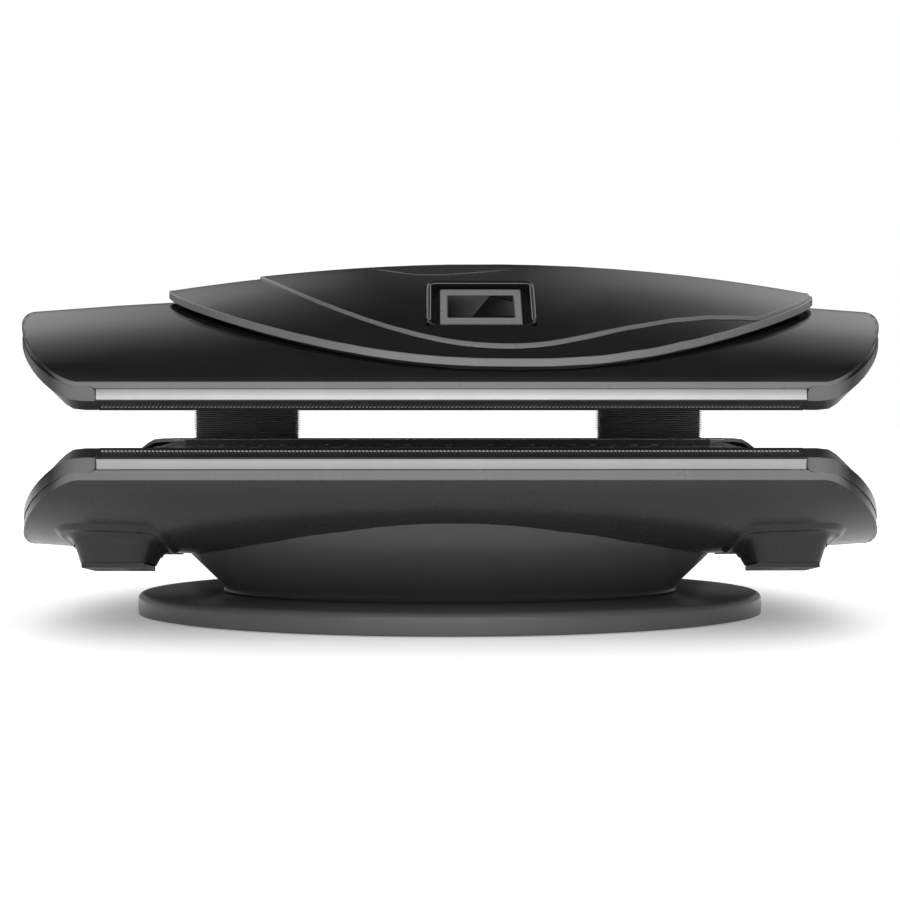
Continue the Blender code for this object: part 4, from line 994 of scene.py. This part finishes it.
def build_cap_faces():
    """Grey faces on the end caps: round over the rail's end, running out at the plan's corners,
    with painted shade that darkens them towards the ends.
    """
    for half, sign in HALVES:
        rail_end, ridge_z = rim_end(half, sign)
        for row, toward in ROWS:
            for side, mirror in SIDES:
                points = cap_face_points(rail_end + SEAM_RADIUS, toward, mirror)
                rings = []
                for place, out, foot, share in points:
                    lift = barrel(place)
                    inner, edge = place - out * FACE_DEEP, place + out * FACE_EDGE
                    proud = place + out * (FACE_EDGE + FACE_PROUD * share)
                    section = ((inner, FACE_TOP), (edge, FACE_TOP), (proud, foot - FACE_PROUD),
                               (proud, foot - FACE_EDGE), (edge, foot), (inner, foot))
                    rings.append([(p.x, p.y, ridge_z + sign * (drop + lift))
                                  for p, drop in section])
                name = "_".join((half, "cap_face", row, side))
                add_piece(name, loft(rings, ends=True), "cap", half)


def build_cap_seams():
    """Dark seams with a round corner where the end caps meet the rails."""
    for half, sign in HALVES:
        rail_end, ridge_z = rim_end(half, sign)
        start = rail_end + SEAM_RADIUS / 2
        flat = [(start, STRIP_RISE)]
        flat += [(start + CAP_CORNER - CAP_CORNER * math.cos(a),
                  FACE_FOOT - CAP_CORNER + CAP_CORNER * math.sin(a)) for a in quarter_turns()]
        for row, toward in ROWS:
            face = toward * (HALF_DEPTH + SEAM_PROUD)
            for side, mirror in SIDES:
                line = [(mirror * x, face, ridge_z + sign * drop) for x, drop in flat]
                name = "_".join(("cap_seam", half, row, side))
                add_wire(name, line, SEAM_RADIUS, "seam", half)


def build_rail_beads():
    """Bright round bead along the upper edge of the bed's rails."""
    rail_end, ridge_z = rim_end("bed", -1)
    z = ridge_z - STRIP_RISE - RAIL_BEAD_DROP
    for row, toward in ROWS:
        line = [(mirror * rail_end, toward * HALF_DEPTH, z) for _, mirror in SIDES]
        name = "bed_" + row + "_rail_bead"
        add_wire(name, line, RAIL_BEAD_RADIUS, "aluminium", "bed")


def build_crease():
    """Fine raised line on top of the hood cover."""
    cover = surface("hood_cover")
    flat = smooth_line([Vector(p) for p in CREASE_POINTS], CREASE_STEPS)
    line = [Vector((p.x, p.y, height(cover, p, ABOVE, -UP))) for p in flat]
    last = len(line) - 1
    turns = [2 * math.pi * k / CREASE_SIDES for k in range(CREASE_SIDES)]
    rings = []
    for i, place in enumerate(line):
        ahead = line[min(i + 1, last)] - line[max(i - 1, 0)]
        across = ahead.cross(UP).normalized()
        lift = across.cross(ahead).normalized()
        full = max(CREASE_TIP, min(1.0, i / CREASE_TAPER, (last - i) / CREASE_TAPER))
        radius = CREASE_RADIUS * full
        rings.append([place + (across * math.cos(a) + lift * math.sin(a)) * radius for a in turns])
    add_piece("cover_crease", loft(rings, ends=True), "trim", "canopy")


def add_slab(name, outlines, matrix, kind, replaced):
    """Closed body through outlines at given heights in the display's frame, for a CAD node."""
    rings = [[matrix @ Vector((x, y, z)) for x, y in outline] for outline, z in outlines]
    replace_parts(add_piece(name, loft(rings, ends=True), kind, "canopy"), replaced)


def build_display_well():
    """Round-cornered well that the display sits in, with a raised rim."""
    matrix, (half_x, half_y, half_z) = tilted_box("display_tray", DISPLAY_TURN)

    def inset(step):
        return rounded(half_x - step, half_y - step, WELL_CORNER)

    outlines = [(inset(0.0), -half_z), (inset(0.0), half_z + WELL_PROUD),
                (inset(WELL_RIM / 3), half_z + WELL_CREST), (inset(WELL_RIM), half_z + WELL_PROUD),
                (inset(WELL_RIM + WELL_DRAFT), WELL_FLOOR - half_z)]
    add_slab("display_well", outlines, matrix, "gloss", "display_tray")


def build_display_brackets():
    """Grey lines over the display's well: one round its top and sides, and one inside each end."""
    matrix, (half_x, half_y, half_z) = tilted_box("display_tray", DISPLAY_TURN)
    reach_x, reach_y = half_x - BRACKET_SIDE, half_y - BRACKET_TOP
    inner_x, foot = reach_x - BRACKET_GAP, BRACKET_FOOT - half_y
    end = [(reach_x, foot)]
    end += [(reach_x - WELL_CORNER * (1 - math.cos(a)), reach_y - WELL_CORNER * (1 - math.sin(a)))
            for a in quarter_turns()]
    paths = {"outer": end + [(-x, y) for x, y in reversed(end)]}
    for side, mirror in SIDES:
        paths["inner_" + side] = [(mirror * inner_x, reach_y - BRACKET_GAP),
                                  (mirror * inner_x, foot),
                                  (mirror * (reach_x - BRACKET_GAP / 2), foot - BRACKET_GAP)]
    for label, flat in paths.items():
        line = [matrix @ Vector((x, y, half_z + BRACKET_LIFT)) for x, y in flat]
        name = "display_bracket_" + label
        add_wire(name, line, BRACKET_RADIUS, "trim", "canopy")


def build_display_screen():
    """Grey frame of the display, and its black glass."""
    matrix, (half_x, half_y, half_z) = tilted_box("display_frame", DISPLAY_TURN)

    def inset(step_x, step_y, corner):
        return rounded(half_x - step_x, half_y - step_y, corner, FINE_CORNER_STEPS)

    border_x, border_y = FRAME_BORDER
    outer = inset(0.0, 0.0, FRAME_CORNER)
    outlines = [(outer, -half_z), (outer, half_z - FRAME_CHAMFER),
                (inset(FRAME_CHAMFER, FRAME_CHAMFER, FRAME_CORNER), half_z),
                (inset(border_x - FRAME_SLOPE, border_y - FRAME_SLOPE, GLASS_CORNER), half_z),
                (inset(border_x, border_y, GLASS_CORNER), half_z - FRAME_SLOPE)]
    add_slab("display_surround", outlines, matrix, "frame", "display_frame")
    matrix, (half_x, half_y, half_z) = tilted_box("display_glass", DISPLAY_TURN)
    outer = inset(0.0, 0.0, GLASS_CORNER)
    outlines = [(outer, GLASS_SUNK - half_z), (outer, half_z - GLASS_EDGE),
                (inset(GLASS_CHAMFER, GLASS_CHAMFER, GLASS_CORNER), half_z)]
    add_slab("display_screen", outlines, matrix, "glass", "display_glass")


def build_duct_collars():
    """Flared collar with a soft brow where each duct meets the belly."""
    belly = surface("bed_shell")
    power = 2.0 / DUCT_POWER
    for row, toward in ROWS:
        for side, _ in SIDES:
            label = row + "_" + side
            middle, half = tilted_box("fan_guard_" + label,
                                      Matrix.Rotation(toward * DUCT_TILT, 4, "X"))
            matrix = middle @ Matrix.Translation((0.0, 0.0, GUARD_DEPTH - half[2]))

            def place(angle, reach):
                x = signed_power(math.cos(angle), power) * (DUCT_HALF_LENGTH + reach)
                y = signed_power(math.sin(angle), power) * (DUCT_HALF_DEPTH + reach)
                return matrix @ Vector((x, y, 0.0))

            lines = []
            for i in range(COLLAR_STEPS):
                angle = 2 * math.pi * (i + 0.5) / COLLAR_STEPS
                foot_z = place(angle, 0.0).z
                head_z = height(belly, place(angle, DUCT_FLARE), BELOW, UP)
                line = []
                for reach, share in COLLAR_WALL:
                    point = place(angle, reach + COLLAR_PROUD)
                    point.z = foot_z + (head_z - foot_z) * share
                    line.append(point)
                for reach, drop in COLLAR_BROW:
                    point = place(angle, reach)
                    point.z = height(belly, point, BELOW, UP) - drop
                    line.append(point)
                lines.append(smooth_line(line, COLLAR_ROWS))
            add_piece("duct_collar_" + label, loft(list(zip(*lines))), "belly", "bed")


def build_console_details():
    """Louvres, and an access panel's seam and screws, on the back of the rear console."""
    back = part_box("rear_console")[1].y
    middle_z = sum(corner.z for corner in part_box("mains_inlet")) / 2
    work = bmesh.new()
    for _, mirror in SIDES:
        start = mirror * LOUVRE_X - LOUVRE_LENGTH / 2
        for i in range(LOUVRE_COUNT):
            z = middle_z + (i - (LOUVRE_COUNT - 1) / 2) * LOUVRE_PITCH
            low, high = z - LOUVRE_HEIGHT / 2, z + LOUVRE_HEIGHT / 2
            corners = [(start, back, low), (start, back + LOUVRE_PROUD, low),
                       (start, back + LOUVRE_PROUD / 2, z), (start, back, high)]
            prism(work, corners, Vector((LOUVRE_LENGTH, 0.0, 0.0)))
    add_piece("console_louvres", work, "vent", "bed", smooth=False)
    half_x, half_z = PANEL_SIZE[0] / 2, PANEL_SIZE[1] / 2
    outline = rounded(half_x, half_z, PANEL_CORNER)
    line = [(PANEL_MIDDLE_X + x, back, middle_z + z) for x, z in outline + outline[:1]]
    add_wire("console_panel_seam", line, SEAM_RADIUS, "seam", "bed")
    work = bmesh.new()
    for sx in (-1, 1):
        for sz in (-1, 1):
            place = Vector((PANEL_MIDDLE_X + sx * (half_x - PANEL_SCREW_INSET), back,
                            middle_z + sz * (half_z - PANEL_SCREW_INSET)))
            add_screw(work, place, REARWARD, REAR_SCREW_RADIUS)
    add_piece("console_screws", work, "screw", "bed")


def build_carrier_screws():
    """Row of screws on the back of the canopy's carrier."""
    low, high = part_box("canopy_carrier")
    z = low.z + (high.z - low.z) * CARRIER_SCREW_SHARE
    work = bmesh.new()
    for i in range(CARRIER_SCREWS):
        x = (i - (CARRIER_SCREWS - 1) / 2) * CARRIER_SCREW_PITCH
        add_screw(work, Vector((x, high.y, z)), REARWARD, REAR_SCREW_RADIUS)
    add_piece("carrier_screws", work, "screw", "canopy")


def build_floor():
    """Pale floor that glows a little, as in a studio."""
    mesh = bpy.data.meshes.new("floor")
    corners = [(x * FLOOR_REACH, y * FLOOR_REACH, 0.0)
               for x, y in ((-1, -1), (1, -1), (1, 1), (-1, 1))]
    mesh.from_pydata(corners, [], [(0, 1, 2, 3)])
    pale = moulded("pale_floor", (0.9, 0.9, 0.9), (0.7, 0.8), 200.0, 0.0002, blotch=0.01)
    shader = pale.node_tree.nodes["Principled BSDF"]
    shader.inputs["Emission Color"].default_value = WHITE
    shader.inputs["Emission Strength"].default_value = FLOOR_GLOW
    mesh.materials.append(pale)
    floor = add_object("floor", mesh)


def build_world():
    """Soft light from all round, brighter behind the object, on a white background."""
    world = bpy.data.worlds.new("studio")
    bpy.context.scene.world = world
    world.use_nodes = True
    tree = world.node_tree
    parts = axes(tree, "Generated")
    width = calculate(tree, "ABSOLUTE", parts["X"])

    def graded(stops, sides, gain):
        ramp = tree.nodes.new("ShaderNodeValToRGB")
        marks = ramp.color_ramp.elements
        while len(marks) < len(stops):
            marks.new(1.0)
        for mark, (place, light) in zip(marks, stops):
            mark.position = place
            mark.color = (light, light, light, 1.0)
        tree.links.new(parts["Z"], ramp.inputs["Fac"])
        toward_sides = rescale(tree, width, sides, gain)
        return calculate(tree, "MULTIPLY", ramp.outputs["Color"], toward_sides)

    front = graded(FRONT_LIGHT, FRONT_SIDES, FRONT_GAIN)
    back = graded(BACK_LIGHT, BACK_SIDES, BACK_GAIN)
    around = mix(tree, "FLOAT", rescale(tree, parts["Y"], BACK_START), front, back)
    path = tree.nodes.new("ShaderNodeLightPath")
    seen = mix(tree, "FLOAT", path.outputs["Is Camera Ray"], around, 1.0)
    sky = tree.nodes["Background"]
    sky.inputs["Color"].default_value = WHITE
    tree.links.new(seen, sky.inputs["Strength"])


def look_along(obj, direction):
    """Turn a light or a camera to look in a direction."""
    obj.rotation_mode = "QUATERNION"
    obj.rotation_quaternion = direction.to_track_quat("-Z", "Y")


def add_panel(name, place, aim, size, power, gloss_only):
    """Studio light panel that the camera doesn't see."""
    data = bpy.data.lights.new(name, "AREA")
    data.shape = "RECTANGLE"
    data.size, data.size_y = size
    data.energy = power
    obj = add_object(name, data)
    obj.location = place
    look_along(obj, Vector(aim) - Vector(place))
    obj.visible_camera = False
    obj.visible_diffuse = not gloss_only


def build_lights():
    """Panels in front and at both sides, and a broad light from overhead."""
    add_panel("front_panel", place=(0.0, -7.0, 1.1), aim=(0.0, 0.0, 1.1), size=(5.4, 2.2),
              power=75.0, gloss_only=False)
    for side, mirror in SIDES:
        add_panel(side + "_panel", place=(mirror * 4.5, 2.2, 1.2), aim=(0.0, 0.0, 0.5),
                  size=(3.0, 2.4), power=5.0, gloss_only=True)
    data = bpy.data.lights.new("overhead", "SUN")
    data.energy = OVERHEAD_POWER
    data.angle = OVERHEAD_ANGLE
    add_object("overhead", data).visible_glossy = False


def build_camera():
    """Camera at the photograph's angle."""
    data = bpy.data.cameras.new("camera")
    data.lens = CAMERA_LENS
    data.sensor_width = SENSOR
    camera = add_object("camera", data)
    camera.location = CAMERA_PLACE
    level = math.cos(CAMERA_PITCH)
    look_along(camera, Vector((math.sin(CAMERA_YAW) * level, math.cos(CAMERA_YAW) * level,
                               -math.sin(CAMERA_PITCH))))
    bpy.context.scene.camera = camera
    bpy.context.scene.view_settings.view_transform = "Standard"


build_bellows()
build_vent_ribs()
build_inner_trims()
build_cap_screws()
build_hood_trims()
build_lip_bands()
build_liners()
build_cap_faces()
build_cap_seams()
build_rail_beads()
build_crease()
build_display_well()
build_display_brackets()
build_display_screen()
build_duct_collars()
build_console_details()
build_carrier_screws()
SMOOTH_GROUP, EVEN_GROUP = smooth_group(), even_group()
for node_name, node_object in NODES.items():
    dress_node(node_name, node_object, SMOOTH_GROUP, EVEN_GROUP)
build_floor()
build_world()
build_lights()
build_camera()
